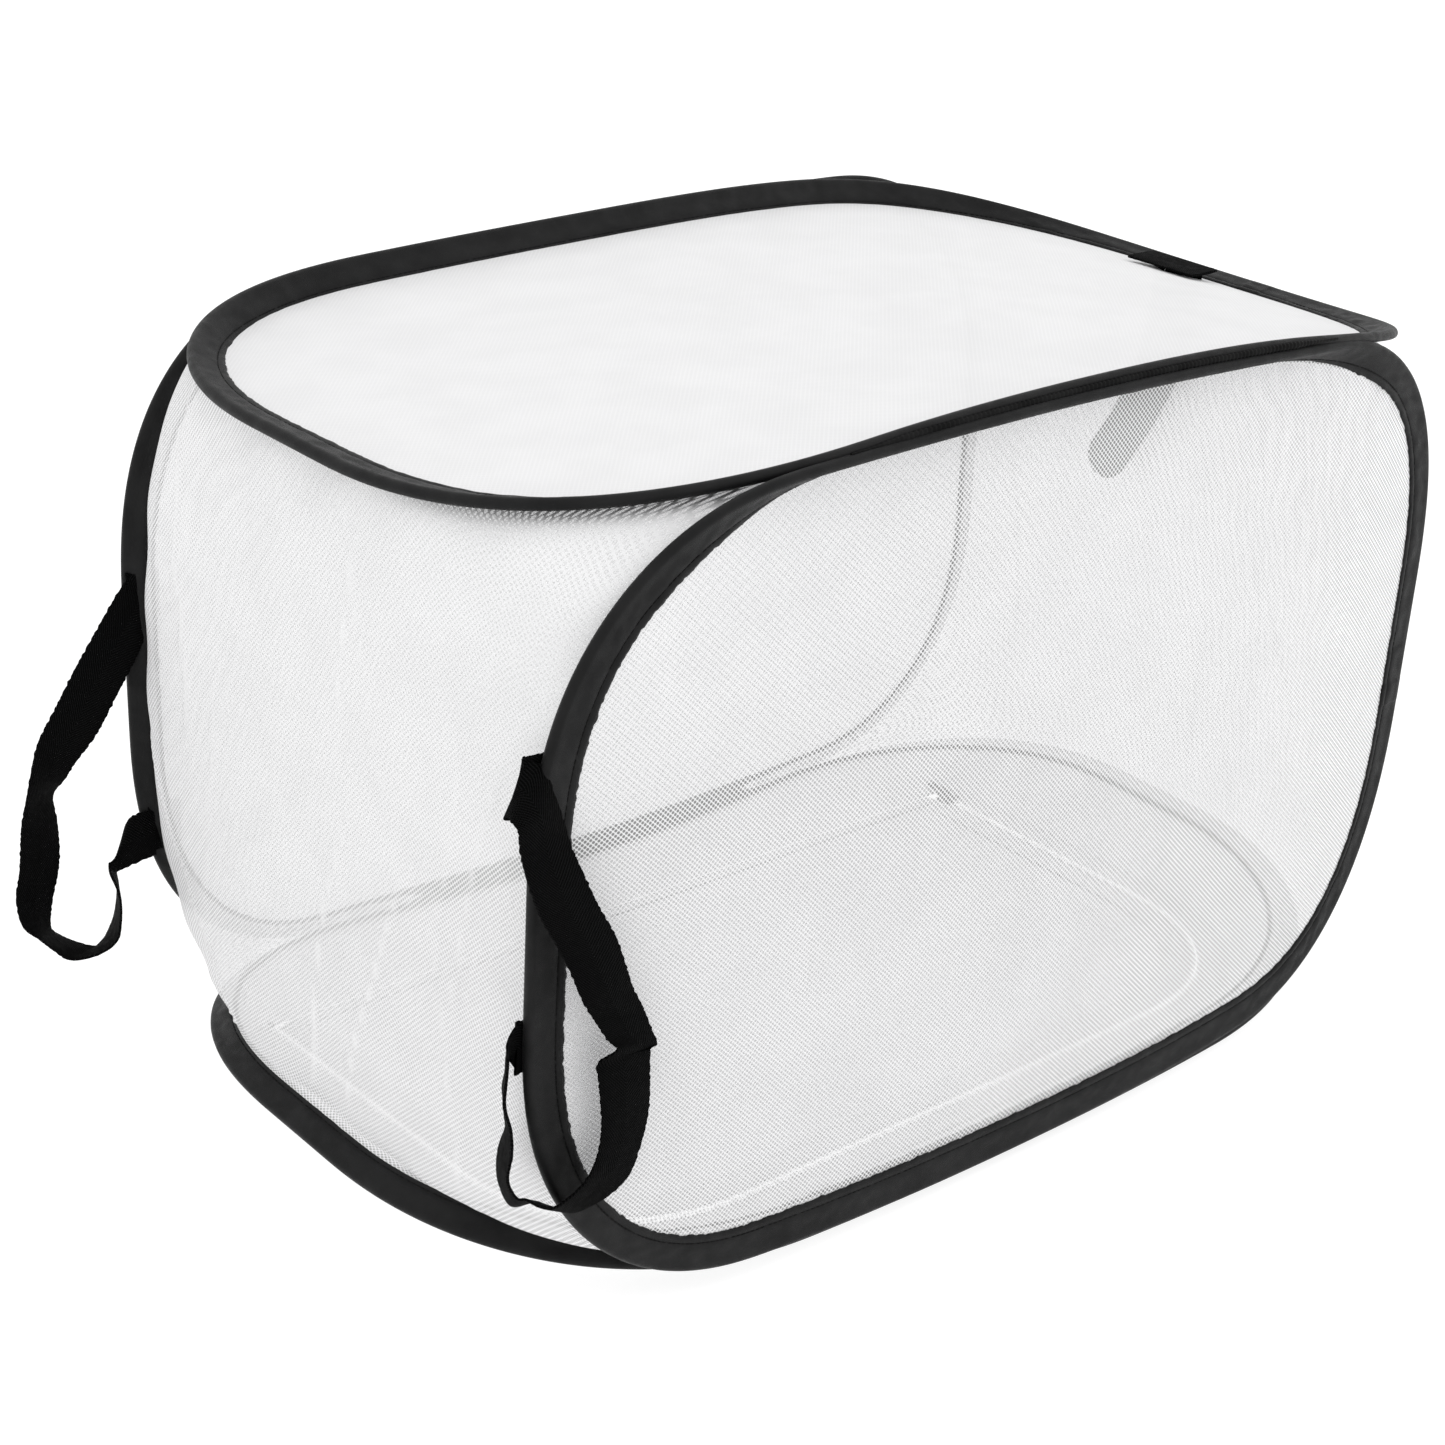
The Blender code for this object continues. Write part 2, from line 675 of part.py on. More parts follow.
# Slider: two plates joined by a bridge that runs between the coils, with a lug for the pull
slider_y = door_back - stop_length - touch_gap - slider_length / 2
slider = empty("zip_slide_axis", (zip_half_length, slider_y, 0), parent=floor)
top_low = coil_high + slider_clearance
top_high = top_low + slider_plate
under_high = tape_low - slider_clearance
under_low = under_high - slider_plate
half_l, half_w, half_nose = slider_length / 2, slider_width / 2, slider_nose_width / 2
plate_outline = [(-half_w, -half_l), (half_w, -half_l), (half_w, half_nose), (half_nose, half_l),
                 (-half_nose, half_l), (-half_w, half_nose)]
bar_level = top_high + pull_eye_clearance + pull_eye_radius
bite = slider_plate / 2
flange_low = tape_high + slider_clearance
lug_half = lug_inner_width / 2
slider_solids = [
    slab("slider_top", [plate_outline], top_low, top_high),
    slab("slider_under", [plate_outline], under_low, under_high),
    block("slider_bridge", (-slider_bridge_width / 2, half_l - slider_bridge_length, under_high - bite),
          (slider_bridge_width / 2, half_l - touch_gap, top_low + bite)),
]
for way in (-1, 1):
    flange_x = sorted((way * half_w, way * (half_w - slider_flange)))
    slider_solids.append(block("slider_flange", (flange_x[0] + way * touch_gap / 3, -half_l + touch_gap, flange_low),
                               (flange_x[1] + way * touch_gap / 3, half_nose - touch_gap, top_low + bite)))
    post_x = sorted((way * lug_half, way * (lug_half + lug_post)))
    slider_solids.append(block("slider_post", (post_x[0], -lug_post, top_high - bite),
                               (post_x[1], lug_post, bar_level + lug_post)))
slider_solids.append(round_bar("slider_bar", lug_bar_radius, lug_inner_width + lug_post, (0, 0, bar_level)))
union("zip_slider", slider_solids, steel, slider)

# Pull: an eye on the slider's bar and a tapered tab with a finger hole, lying towards the back
pull = empty("zip_pull_axis", (0, 0, bar_level), parent=slider)
eye_width = lug_inner_width - 2 * touch_gap
neck = lug_post + pull_eye_radius
half_pull, half_thick = pull_width / 2, pull_thickness / 2
half_eye = (eye_width - touch_gap) / 2
tab_outline = [(-half_eye, pull_root), (half_eye, pull_root), (half_eye, neck),
               (half_pull, neck + half_pull), (half_pull, pull_length - half_pull),
               (half_pull / 2, pull_length), (-half_pull / 2, pull_length),
               (-half_pull, pull_length - half_pull), (-half_pull, neck + half_pull), (-half_eye, neck)]
hole_outline = [(half_pull / 2 * math.cos(a * math.pi / 6), pull_length - pull_width
                 + half_pull / 2 * math.sin(a * math.pi / 6)) for a in range(12)]
eye = round_bar("pull_eye", pull_eye_radius, eye_width, (0, 0, 0), 16)
tab = slab("pull_tab", [tab_outline, hole_outline], -half_thick, half_thick)
zip_pull = union("zip_pull", [eye, tab], steel, pull)
bore = bpy.data.objects.new("pull_bore", round_bar("pull_bore", pull_bore_radius, 2 * lug_inner_width, (0, 0, 0)))
bore.parent = pull
bore.hide_render = True
bore.display_type = "WIRE"
cutters.objects.link(bore)
cut = zip_pull.modifiers.new("bore", "BOOLEAN")
cut.operation = "DIFFERENCE"
cut.object = bore

# Handles: two tabs sewn to the hoop's inner face, and a loop of webbing that swings on their outer ends
for side_name, flip, lift, shares, reach, stand, carrier_depth in (
        ("front", -1, front_handle_lift, front_strap_shares, front_strap_reach, front_strap_stand, cage_height),
        ("back", 1, back_handle_lift, back_strap_shares, back_strap_reach, back_strap_stand, cage_height)):
    mid_z = cage_height / 2 + lift
    axis_x = -half_length - handle_axis_offset
    carrier = front if flip < 0 else back
    local_x = -1 if flip < 0 else 1
    inner_y = flip * (cage_depth / 2 - handle_inset())
    axis = empty(side_name + "_handle_axis", (axis_x, inner_y, mid_z), parent=inside)
    for tab_name, way in (("top", 1), ("bottom", -1)):
        tab_z = mid_z + way * handle_spacing / 2
        tab_end = axis_x + strap_hem + handle_hem_gap
        edges = sorted((local_x * -tab_end, local_x * -(tab_end + tab_sewn_length + touch_gap)))
        name = side_name + "_handle_" + tab_name + "_tab"
        low = (edges[0], tab_z - webbing_width / 2, -touch_gap - webbing_thickness)
        high = (edges[1], tab_z + webbing_width / 2, -touch_gap)
        add_piece(name, block(name, low, high), webbing_black, carrier)
    points, faces = handle_points(shares, reach, stand, flip)
    strap = strap_mesh(side_name + "_handle_strap", points, faces, webbing_width, webbing_thickness)
    add_piece(side_name + "_handle_strap", strap, webbing_black, axis)

# Hanging loop: a patch sewn under the top mesh beside the casing, and folded webbing that hangs from it
patch_end = half_length - casing_width - loop_patch_gap
patch_top = mesh_level - half_mesh - touch_gap
patch_low = patch_top - webbing_thickness
patch_half = loop_leg_spacing / 2 + loop_width / 2 + loop_patch_margin
loop_y = cage_depth / 2 + loop_offset_y
add_piece("hanging_loop_patch", block("hanging_loop_patch", (patch_end - loop_patch_length, loop_y - patch_half, patch_low),
                                      (patch_end, loop_y + patch_half, patch_top)), webbing_black, top)
loop_x = patch_end - loop_patch_length / 2
loop_points = []
loop_faces = []
for down, lean, spread, face_x, face_y in loop_shares:
    loop_points.append(Vector((loop_x, loop_y + spread * loop_leg_spacing + lean * loop_lean,
                               patch_low - touch_gap - strap_hem - down * loop_drop)))
    loop_faces.append(Vector((face_x, face_y, 0.0)))
hanging = strap_mesh("hanging_loop", loop_points, loop_faces, loop_width, webbing_thickness)
add_piece("hanging_loop", hanging, webbing_black, top)


def stand_on_origin():
    """Moves the whole cage so that the middle of its bounding box stands on the origin."""
    bpy.context.view_layer.update()
    graph = bpy.context.evaluated_depsgraph_get()
    corners = []
    for piece in parts.objects:
        if piece.type == "MESH":
            solid = piece.evaluated_get(graph)
            corners += [solid.matrix_world @ v.co for v in solid.data.vertices]
    low = Vector([min(c[i] for c in corners) for i in range(3)])
    high = Vector([max(c[i] for c in corners) for i in range(3)])
    cage.location = (-(low.x + high.x) / 2, -(low.y + high.y) / 2, -low.z)
    bpy.context.view_layer.update()


stand_on_origin()
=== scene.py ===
"""Looks of a pop-up mesh insect cage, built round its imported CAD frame.

Everything is in metres in the CAD's frame: X along the cage, Y towards its back and Z up.
A hoop is worked out in axes of its own: u along the cage, v across the hoop and n out of the cage.
"""
import logging
import math
from dataclasses import dataclass
from enum import Enum

import bpy
import numpy as np
from mathutils import Matrix, Vector


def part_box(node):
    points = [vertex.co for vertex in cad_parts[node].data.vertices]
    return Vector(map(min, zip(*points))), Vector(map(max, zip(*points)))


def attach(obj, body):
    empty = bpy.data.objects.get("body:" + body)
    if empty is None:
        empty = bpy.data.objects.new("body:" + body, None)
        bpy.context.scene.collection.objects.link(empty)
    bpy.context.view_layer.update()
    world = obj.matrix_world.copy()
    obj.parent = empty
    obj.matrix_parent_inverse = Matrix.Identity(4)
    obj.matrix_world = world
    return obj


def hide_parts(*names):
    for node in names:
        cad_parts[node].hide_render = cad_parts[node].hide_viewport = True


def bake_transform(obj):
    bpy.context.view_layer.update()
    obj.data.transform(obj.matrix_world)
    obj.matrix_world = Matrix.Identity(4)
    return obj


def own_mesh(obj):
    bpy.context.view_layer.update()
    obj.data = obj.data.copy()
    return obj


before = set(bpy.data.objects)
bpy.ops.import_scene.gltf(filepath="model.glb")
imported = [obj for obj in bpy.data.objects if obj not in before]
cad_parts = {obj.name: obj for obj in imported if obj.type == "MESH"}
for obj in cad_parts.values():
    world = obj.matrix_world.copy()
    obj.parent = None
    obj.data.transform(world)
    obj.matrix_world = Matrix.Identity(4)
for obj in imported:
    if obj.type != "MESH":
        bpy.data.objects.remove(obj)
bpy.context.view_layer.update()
log = logging.getLogger("insect_cage")
Array = np.ndarray
TAU = 2 * math.pi
LIP = 0.0030  # how far a mesh reaches under its casing's inner lip


# Meshes from arrays

def grid_quads(rows: int, columns: int, round_rows: bool = False, round_columns: bool = False,
               flip: bool = False) -> Array:
    """Quads of a grid of points in row order: each joins (i, j), (i+1, j), (i+1, j+1) and (i, j+1).

    Args:
        rows: Number of rows of points.
        columns: Number of columns of points.
        round_rows: Whether the last row joins the first.
        round_columns: Whether the last column joins the first.
        flip: Whether the quads turn the other way.

    Returns:
        An array of four point numbers a quad.
    """
    i, j = np.meshgrid(np.arange(rows if round_rows else rows - 1),
                       np.arange(columns if round_columns else columns - 1), indexing="ij")
    up, right = (i + 1) % rows, (j + 1) % columns
    quads = np.stack([i * columns + j, up * columns + j, up * columns + right, i * columns + right],
                     -1).reshape(-1, 4)
    return quads[:, ::-1] if flip else quads


def grid_uvs(along: Array, across: Array, flip: bool = False) -> Array:
    """UVs of every corner of a grid's quads, from one value for each line of points.

    Args:
        along: A value for each row line, one more than the points where the grid is round.
        across: A value for each column line, in the same way.
        flip: Whether the quads turn the other way.

    Returns:
        An array with one (along, across) pair for each corner, in the quads' order.
    """
    i, j = np.meshgrid(np.arange(len(along) - 1), np.arange(len(across) - 1), indexing="ij")
    rows = np.stack([along[i], along[i + 1], along[i + 1], along[i]], -1)
    columns = np.stack([across[j], across[j], across[j + 1], across[j + 1]], -1)
    pairs = np.stack([rows, columns], -1).reshape(-1, 4, 2)
    return (pairs[:, ::-1] if flip else pairs).reshape(-1, 2)


def piece_of(name: str, points: Array, faces: Array, uvs: Array | None = None,
             caps: list[Array] | None = None, shades: dict[str, Array] | None = None) -> bpy.types.Object:
    """A mesh object at the origin, from whole arrays.

    Args:
        name: The piece's name.
        points: Points, one a row.
        faces: Faces of one size, as point numbers.
        uvs: A UV pair for each face corner, or None for each point's own (x, y).
        caps: More faces, such as the ends of a tube.
        shades: Named numbers for each point, for the finishes.

    Returns:
        The new object, smooth and linked to the scene.
    """
    extra = [np.asarray(c) for c in (caps or [])]
    corners = np.concatenate([faces.ravel()] + extra).astype(np.int32)
    sizes = np.concatenate([np.full(len(faces), faces.shape[1])] + [np.array([len(c)]) for c in extra])
    starts = np.concatenate([[0], np.cumsum(sizes)[:-1]]).astype(np.int32)
    mesh = bpy.data.meshes.new(name)
    mesh.vertices.add(len(points))
    mesh.vertices.foreach_set("co", np.asarray(points, np.float32).ravel())
    mesh.loops.add(len(corners))
    mesh.loops.foreach_set("vertex_index", corners)
    mesh.polygons.add(len(sizes))
    mesh.polygons.foreach_set("loop_start", starts)
    mesh.polygons.foreach_set("use_smooth", np.ones(len(sizes), bool))
    layer = mesh.uv_layers.new(name="cloth")
    pairs = points[corners][:, :2].astype(np.float32)
    if uvs is not None:
        pairs[:len(uvs)] = uvs
    layer.data.foreach_set("uv", pairs.ravel())
    for key, values in (shades or {}).items():
        mesh.attributes.new(key, "FLOAT", "POINT").data.foreach_set(
            "value", np.asarray(values, np.float32).ravel())
    mesh.update(calc_edges=True)
    mesh.validate()
    made = bpy.data.objects.new(name, mesh)
    bpy.context.scene.collection.objects.link(made)
    return made


def by_angle(loop: Array, centre: Array) -> tuple[Array, Array, Array]:
    """A loop's points seen from a centre: their angles in rising order, their distances, and that order."""
    offset = loop[:, :2] - centre
    angle = np.arctan2(offset[:, 1], offset[:, 0])
    order = np.argsort(angle)
    return angle[order], np.linalg.norm(offset, axis=1)[order], order


def unit(vectors: Array) -> Array:
    """The vectors, each divided by its length."""
    return vectors / np.maximum(np.linalg.norm(vectors, axis=-1, keepdims=True), 1e-12)


def arc_length(points: Array) -> Array:
    """The distance along a line of points, from its first one."""
    return np.concatenate([[0.0], np.cumsum(np.linalg.norm(np.diff(points, axis=0), axis=1))])


def even_steps(points: Array, count: int, closed: bool = False) -> Array:
    """Points at even steps of distance along a line.

    Args:
        points: The line's points.
        count: How many points to give.
        closed: Whether the line joins its own start.

    Returns:
        The new points, without a second copy of the first where the line is closed.
    """
    line = np.vstack([points, points[:1]]) if closed else points
    far = arc_length(line)
    at = np.linspace(0, far[-1], count + 1)[:-1] if closed else np.linspace(0, far[-1], count)
    return np.stack([np.interp(at, far, line[:, k]) for k in range(line.shape[1])], -1)


def smooth_line(points: Array, steps: int) -> Array:
    """A Catmull-Rom curve through the points: a cubic blends each span's ends and their neighbours."""
    p = np.vstack([points[:1], points, points[-1:]])
    t = (np.arange(steps) / steps)[None, :, None]
    a, b, c, d = (p[k:len(p) - 3 + k, None, :] for k in range(4))
    spans = 0.5 * (2 * b + (c - a) * t + (2 * a - 5 * b + 4 * c - d) * t ** 2
                   + (3 * b - a - 3 * c + d) * t ** 3)
    return np.vstack([spans.reshape(-1, points.shape[1]), points[-1:]])


def ripples(along: Array, across: Array, seed: int, waves: int, shortest: float, longest: float,
            skew: float = 0.6) -> Array:
    """Soft random ripples: a sum of sine waves with random lengths, slants and starts, scaled to about one.

    Args:
        along: Distances along the piece.
        across: Distances across it, of a shape that goes with along.
        seed: Where the random numbers start.
        waves: How many sine waves are added.
        shortest: The shortest wave's length.
        longest: The longest wave's length.
        skew: How much the waves slant.

    Returns:
        The height of the ripples at each point.
    """
    draw = np.random.default_rng(seed)
    total = 0.0
    for length, slant, start in zip(np.geomspace(shortest, longest, waves), draw.uniform(-skew, skew, waves),
                                    draw.uniform(0, TAU, waves)):
        total = total + np.sin(TAU * (along + slant * across) / length + start)
    return total / math.sqrt(waves)


def tube(name: str, line: Array, radius: Array | float, sides: int, closed: bool) -> bpy.types.Object:
    """A round tube along a line: circles of the radius, square to the line, joined from point to point.

    Args:
        name: The piece's name.
        line: The points that the tube follows.
        radius: Its radius, one number or one for each point and side.
        sides: How many sides the tube has.
        closed: Whether it joins its own start.

    Returns:
        The tube.
    """
    along = np.roll(line, -1, 0) - np.roll(line, 1, 0)
    if not closed:
        along[0], along[-1] = line[1] - line[0], line[-1] - line[-2]
    along = unit(along)
    middle = line.mean(0)
    flat = unit(np.cross(np.cross(along, middle - line), along))
    other = np.cross(along, flat)
    turn = np.linspace(0, TAU, sides + 1)[:-1]
    reach = np.broadcast_to(np.asarray(radius, float), (len(line), sides))[..., None]
    points = (line[:, None] + reach * (np.cos(turn)[None, :, None] * flat[:, None]
                                       + np.sin(turn)[None, :, None] * other[:, None])).reshape(-1, 3)
    far = arc_length(np.vstack([line, line[:1]]) if closed else line)
    round_it = np.linspace(0, TAU * float(np.mean(radius)), sides + 1)
    caps = None if closed else [np.arange(sides), np.arange(sides)[::-1] + (len(line) - 1) * sides]
    return piece_of(name, points, grid_quads(len(line), sides, closed, True, flip=True),
                    grid_uvs(far, round_it, flip=True), caps)


def studs(name: str, places: Array, along: Array, up: Array, length: float, width: float, height: float,
          sides: int = 6) -> bpy.types.Object:
    """Many small capsules, such as stitches or zip teeth, each of rings whose size follows a half circle.

    Args:
        name: The piece's name.
        places: The capsules' middles.
        along: The way each one lies.
        up: The way each one's height goes.
        length: Their length.
        width: Their width.
        height: Their height.
        sides: How many sides each one has.

    Returns:
        One object with all of them.
    """
    bulk = np.sqrt(np.clip(1 - np.linspace(-0.94, 0.94, 4) ** 2, 0, 1))
    run = np.array([-0.47, -0.26, 0.26, 0.47]) * length
    turn = np.linspace(0, TAU, sides + 1)[:-1]
    local = np.stack([np.repeat(run, sides), np.outer(bulk, np.cos(turn)).ravel() * width / 2,
                      np.outer(bulk, np.sin(turn)).ravel() * height / 2], -1)
    along, up = unit(along), unit(up)
    side = np.cross(up, along)
    points = (places[:, None] + local[None, :, :1] * along[:, None] + local[None, :, 1:2] * side[:, None]
              + local[None, :, 2:] * up[:, None]).reshape(-1, 3)
    count = len(run) * sides
    quads = grid_quads(len(run), sides, False, True, flip=True)
    ends = np.array([[0, 1, 2, 3], [0, 3, 4, 5]])
    ends = np.vstack([ends, ends[:, ::-1] + (len(run) - 1) * sides])
    one = np.vstack([quads, ends])
    faces = (one[None] + (np.arange(len(places)) * count)[:, None, None]).reshape(-1, 4)
    return piece_of(name, points, faces)


# Finishes

class Graph:
    """A material's node tree, with short calls for the nodes that the finishes share."""

    def __init__(self, name: str) -> None:
        """Starts a material with a Principled shader on its output."""
        self.material = bpy.data.materials.new(name)
        self.material.use_nodes = True
        self.tree = self.material.node_tree
        self.tree.nodes.clear()
        self.shader = self.tree.nodes.new("ShaderNodeBsdfPrincipled")
        out = self.tree.nodes.new("ShaderNodeOutputMaterial")
        self.tree.links.new(self.shader.outputs[0], out.inputs["Surface"])

    def node(self, kind: str, settings: dict | None = None, **inputs) -> bpy.types.Node:
        """A node of a kind, with its settings, and inputs that are numbers, colours or other sockets.

        Args:
            kind: The node's type.
            settings: Attributes to set on it.
            **inputs: Values or sockets by input name, or by number after an underscore.

        Returns:
            The node.
        """
        made = self.tree.nodes.new(kind)
        for key, value in (settings or {}).items():
            setattr(made, key, value)
        for key, value in inputs.items():
            target = made.inputs[int(key[1:])] if key[0] == "_" else made.inputs[key.replace("_", " ")]
            self.feed(target, value)
        return made

    def feed(self, target: bpy.types.NodeSocket, value: object) -> None:
        """Links a socket to an input, or sets the input to a number or colour."""
        if isinstance(value, bpy.types.NodeSocket):
            self.tree.links.new(value, target)
        else:
            target.default_value = value

    def math(self, what: str, *values: object) -> bpy.types.NodeSocket:
        """The result of a Math node on numbers or sockets."""
        inputs = {f"_{k}": v for k, v in enumerate(values)}
        return self.node("ShaderNodeMath", {"operation": what}, **inputs).outputs[0]

    def ramp(self, value: bpy.types.NodeSocket, low: float, high: float, first: float,
             last: float) -> bpy.types.NodeSocket:
        """The value, taken smoothly from first at low to last at high."""
        return self.node("ShaderNodeMapRange", {"interpolation_type": "SMOOTHSTEP"}, _0=value, _1=low,
                         _2=high, _3=first, _4=last).outputs[0]

    def cloth(self) -> tuple[bpy.types.NodeSocket, bpy.types.NodeSocket]:
        """The two coordinates of the piece's own UV map, in metres."""
        where = self.node("ShaderNodeUVMap", {"uv_map": "cloth"})
        split = self.node("ShaderNodeSeparateXYZ", Vector=where.outputs[0])
        return split.outputs[0], split.outputs[1]

    def noise(self, scale: float, detail: float = 3.0) -> bpy.types.NodeSocket:
        """Noise on Object coordinates, from 0 to 1."""
        where = self.node("ShaderNodeTexCoord").outputs["Object"]
        return self.node("ShaderNodeTexNoise", Vector=where, Scale=scale, Detail=detail).outputs[0]

    def two_colours(self, factor: bpy.types.NodeSocket, first: tuple, second: tuple) -> bpy.types.NodeSocket:
        """A mix of two colours by a factor, for the shader's colour."""
        mix = self.node("ShaderNodeMix", {"data_type": "RGBA"})
        self.feed(mix.inputs[0], factor)
        mix.inputs[6].default_value = (*first, 1)
        mix.inputs[7].default_value = (*second, 1)
        return mix.outputs[2]

    def bump(self, height: bpy.types.NodeSocket, distance: float, strength: float = 1.0) -> None:
        """Bumps the shader's surface by a height."""
        made = self.node("ShaderNodeBump", Strength=strength, Distance=distance, Height=height)
        self.feed(self.shader.inputs["Normal"], made.outputs[0])

    def set(self, **values) -> None:
        """Sets the shader's own sockets by name."""
        for key, value in values.items():
            self.feed(self.shader.inputs[key.replace("_", " ")], value)


@dataclass(frozen=True)
class Taffeta:
    """Black woven polyester of the casings, with a soft sheen."""
    name: str = "casing_taffeta"
    dark: tuple = (0.004, 0.004, 0.0042)
    light: tuple = (0.009, 0.009, 0.0092)
    thread: float = 0.00045
    thread_height: float = 0.00004
    roughness: float = 0.48
    sheen: float = 0.03

    def material(self) -> bpy.types.Material:
        """Plain weave: the product of two sines, one for each thread direction, bumps it; noise tints it."""
        g = Graph(self.name)
        along, across = g.cloth()
        warp = g.math("SINE", g.math("MULTIPLY", along, TAU / self.thread))
        weft = g.math("SINE", g.math("MULTIPLY", across, TAU / self.thread))
        weave = g.math("MULTIPLY", warp, weft)
        cloudy = g.ramp(g.noise(45.0, 4.0), 0.3, 0.7, 0.0, 1.0)
        rough = g.ramp(g.noise(140.0), 0.2, 0.8, self.roughness - 0.08, self.roughness + 0.1)
        g.set(Base_Color=g.two_colours(cloudy, self.dark, self.light), Roughness=rough)
        g.set(Sheen_Weight=self.sheen, Sheen_Roughness=0.4, Specular_IOR_Level=0.16)
        g.bump(weave, self.thread_height)
        return g.material


@dataclass(frozen=True)
class Knit:
    """White knitted mesh: round holes in diagonal rows, and a share of them that a wall lets through."""
    name: str = "wall_mesh"
    white: tuple = (0.80, 0.80, 0.805)
    shade: tuple = (0.77, 0.77, 0.775)
    pitch: float = 0.0018
    hole: float = 0.40
    filled: float = 0.0

    def material(self) -> bpy.types.Material:
        """Holes are where the distance to the nearest point of a square lattice at 45 degrees is small."""
        g = Graph(self.name)
        where = g.node("ShaderNodeUVMap", {"uv_map": "cloth"})
        turned = g.node("ShaderNodeMapping", Vector=where.outputs[0], Rotation=(0, 0, math.radians(45)),
                        Scale=(1 / self.pitch, 1 / self.pitch, 1))
        cells = g.node("ShaderNodeTexVoronoi", {"voronoi_dimensions": "2D", "feature": "F1"},
                       Vector=turned.outputs[0], Scale=1.0, Randomness=0.0)
        distance = cells.outputs["Distance"]
        open_share = g.ramp(distance, self.hole * 0.8, self.hole * 1.15, 1.0 - self.filled, 0.0)
        crease = g.node("ShaderNodeAttribute", {"attribute_name": "crease"}).outputs["Fac"]
        open_share = g.math("MULTIPLY", open_share, g.ramp(crease, 0.0, 1.0, 1.0, 0.15))
        cloudy = g.ramp(g.noise(30.0), 0.3, 0.7, 0.0, 1.0)
        g.set(Alpha=g.math("SUBTRACT", 1.0, open_share),
              Base_Color=g.two_colours(cloudy, self.white, self.shade))
        g.set(Roughness=0.7, Sheen_Weight=0.2, Sheen_Roughness=0.5, Specular_IOR_Level=0.2)
        return g.material


@dataclass(frozen=True)
class Webbing:
    """Black herringbone webbing."""
    name: str = "strap_webbing"
    dark: tuple = (0.0008, 0.0008, 0.0008)
    light: tuple = (0.0065, 0.0065, 0.0067)
    rib: float = 0.0017
    slant: float = 1.25
    columns: float = 0.0125
    yarn: float = 0.0009
    height: float = 0.0003

    def material(self) -> bpy.types.Material:
        """Ribs are a sine of the distance along plus a triangle wave across, so they turn at each column;
        their height bumps the surface and also sets the colour, a painted highlight on the rib tops and
        painted shade in the grooves.
        """
        g = Graph(self.name)
        along, across = g.cloth()
        fold = g.math("MULTIPLY", g.math("PINGPONG", g.math("ADD", across, 1.0), self.columns), self.slant)
        ribs = g.math("SINE", g.math("MULTIPLY", g.math("ADD", along, fold), TAU / self.rib))
        fine = g.math("SINE", g.math("MULTIPLY", across, TAU / self.yarn))
        tall = g.math("ADD", ribs, g.math("MULTIPLY", fine, 0.35))
        # the colour follows the rib height: dark is painted shade in the grooves, light a painted highlight
        # on the rib tops
        g.set(Base_Color=g.two_colours(g.ramp(tall, -1.0, 1.2, 0.0, 1.0), self.dark, self.light),
              Roughness=g.ramp(g.noise(300.0), 0.2, 0.8, 0.6, 0.8), Specular_IOR_Level=0.03)
        g.bump(tall, self.height)
        return g.material


@dataclass(frozen=True)
class Tape:
    """Woven white zip tape, with a fine rib along it."""
    name: str = "zip_tape_weave"
    colour: tuple = (0.82, 0.82, 0.82)
    shade: tuple = (0.70, 0.70, 0.71)
    rib: float = 0.0012
    height: float = 0.00012

    def material(self) -> bpy.types.Material:
        """Ribs are a sine across the tape, crossed by a finer sine along it; their height bumps the surface
        and sets the colour, with painted shade in the grooves.
        """
        g = Graph(self.name)
        along, across = g.cloth()
        ribs = g.math("SINE", g.math("MULTIPLY", across, TAU / self.rib))
        picks = g.math("SINE", g.math("MULTIPLY", along, TAU / (self.rib * 0.6)))
        tall = g.math("ADD", ribs, g.math("MULTIPLY", picks, 0.5))
        # the colour follows the rib height: shade is painted shade in the grooves between the ribs
        g.set(Base_Color=g.two_colours(g.ramp(tall, -1.4, 1.2, 0.0, 1.0), self.shade, self.colour),
              Roughness=0.75, Sheen_Weight=0.15, Specular_IOR_Level=0.25)
        g.bump(tall, self.height)
        return g.material


@dataclass(frozen=True)
class Solid:
    """A hard or corded finish in one colour family, with noise in its colour, roughness and surface."""
    name: str
    dark: tuple
    light: tuple
    metallic: float = 0.0
    roughness: float = 0.4
    grain: float = 600.0
    depth: float = 0.00002
    gloss: float = 0.25

    def material(self) -> bpy.types.Material:
        """Noise on Object coordinates varies the colour and roughness and bumps the surface."""
        g = Graph(self.name)
        fine = g.noise(self.grain, 4.0)
        cloudy = g.ramp(g.noise(60.0), 0.3, 0.7, 0.0, 1.0)
        g.set(Base_Color=g.two_colours(cloudy, self.dark, self.light), Metallic=self.metallic,
              Roughness=g.ramp(fine, 0.2, 0.8, self.roughness - 0.07, self.roughness + 0.1),
              Specular_IOR_Level=self.gloss)
        g.bump(fine, self.depth)
        return g.material


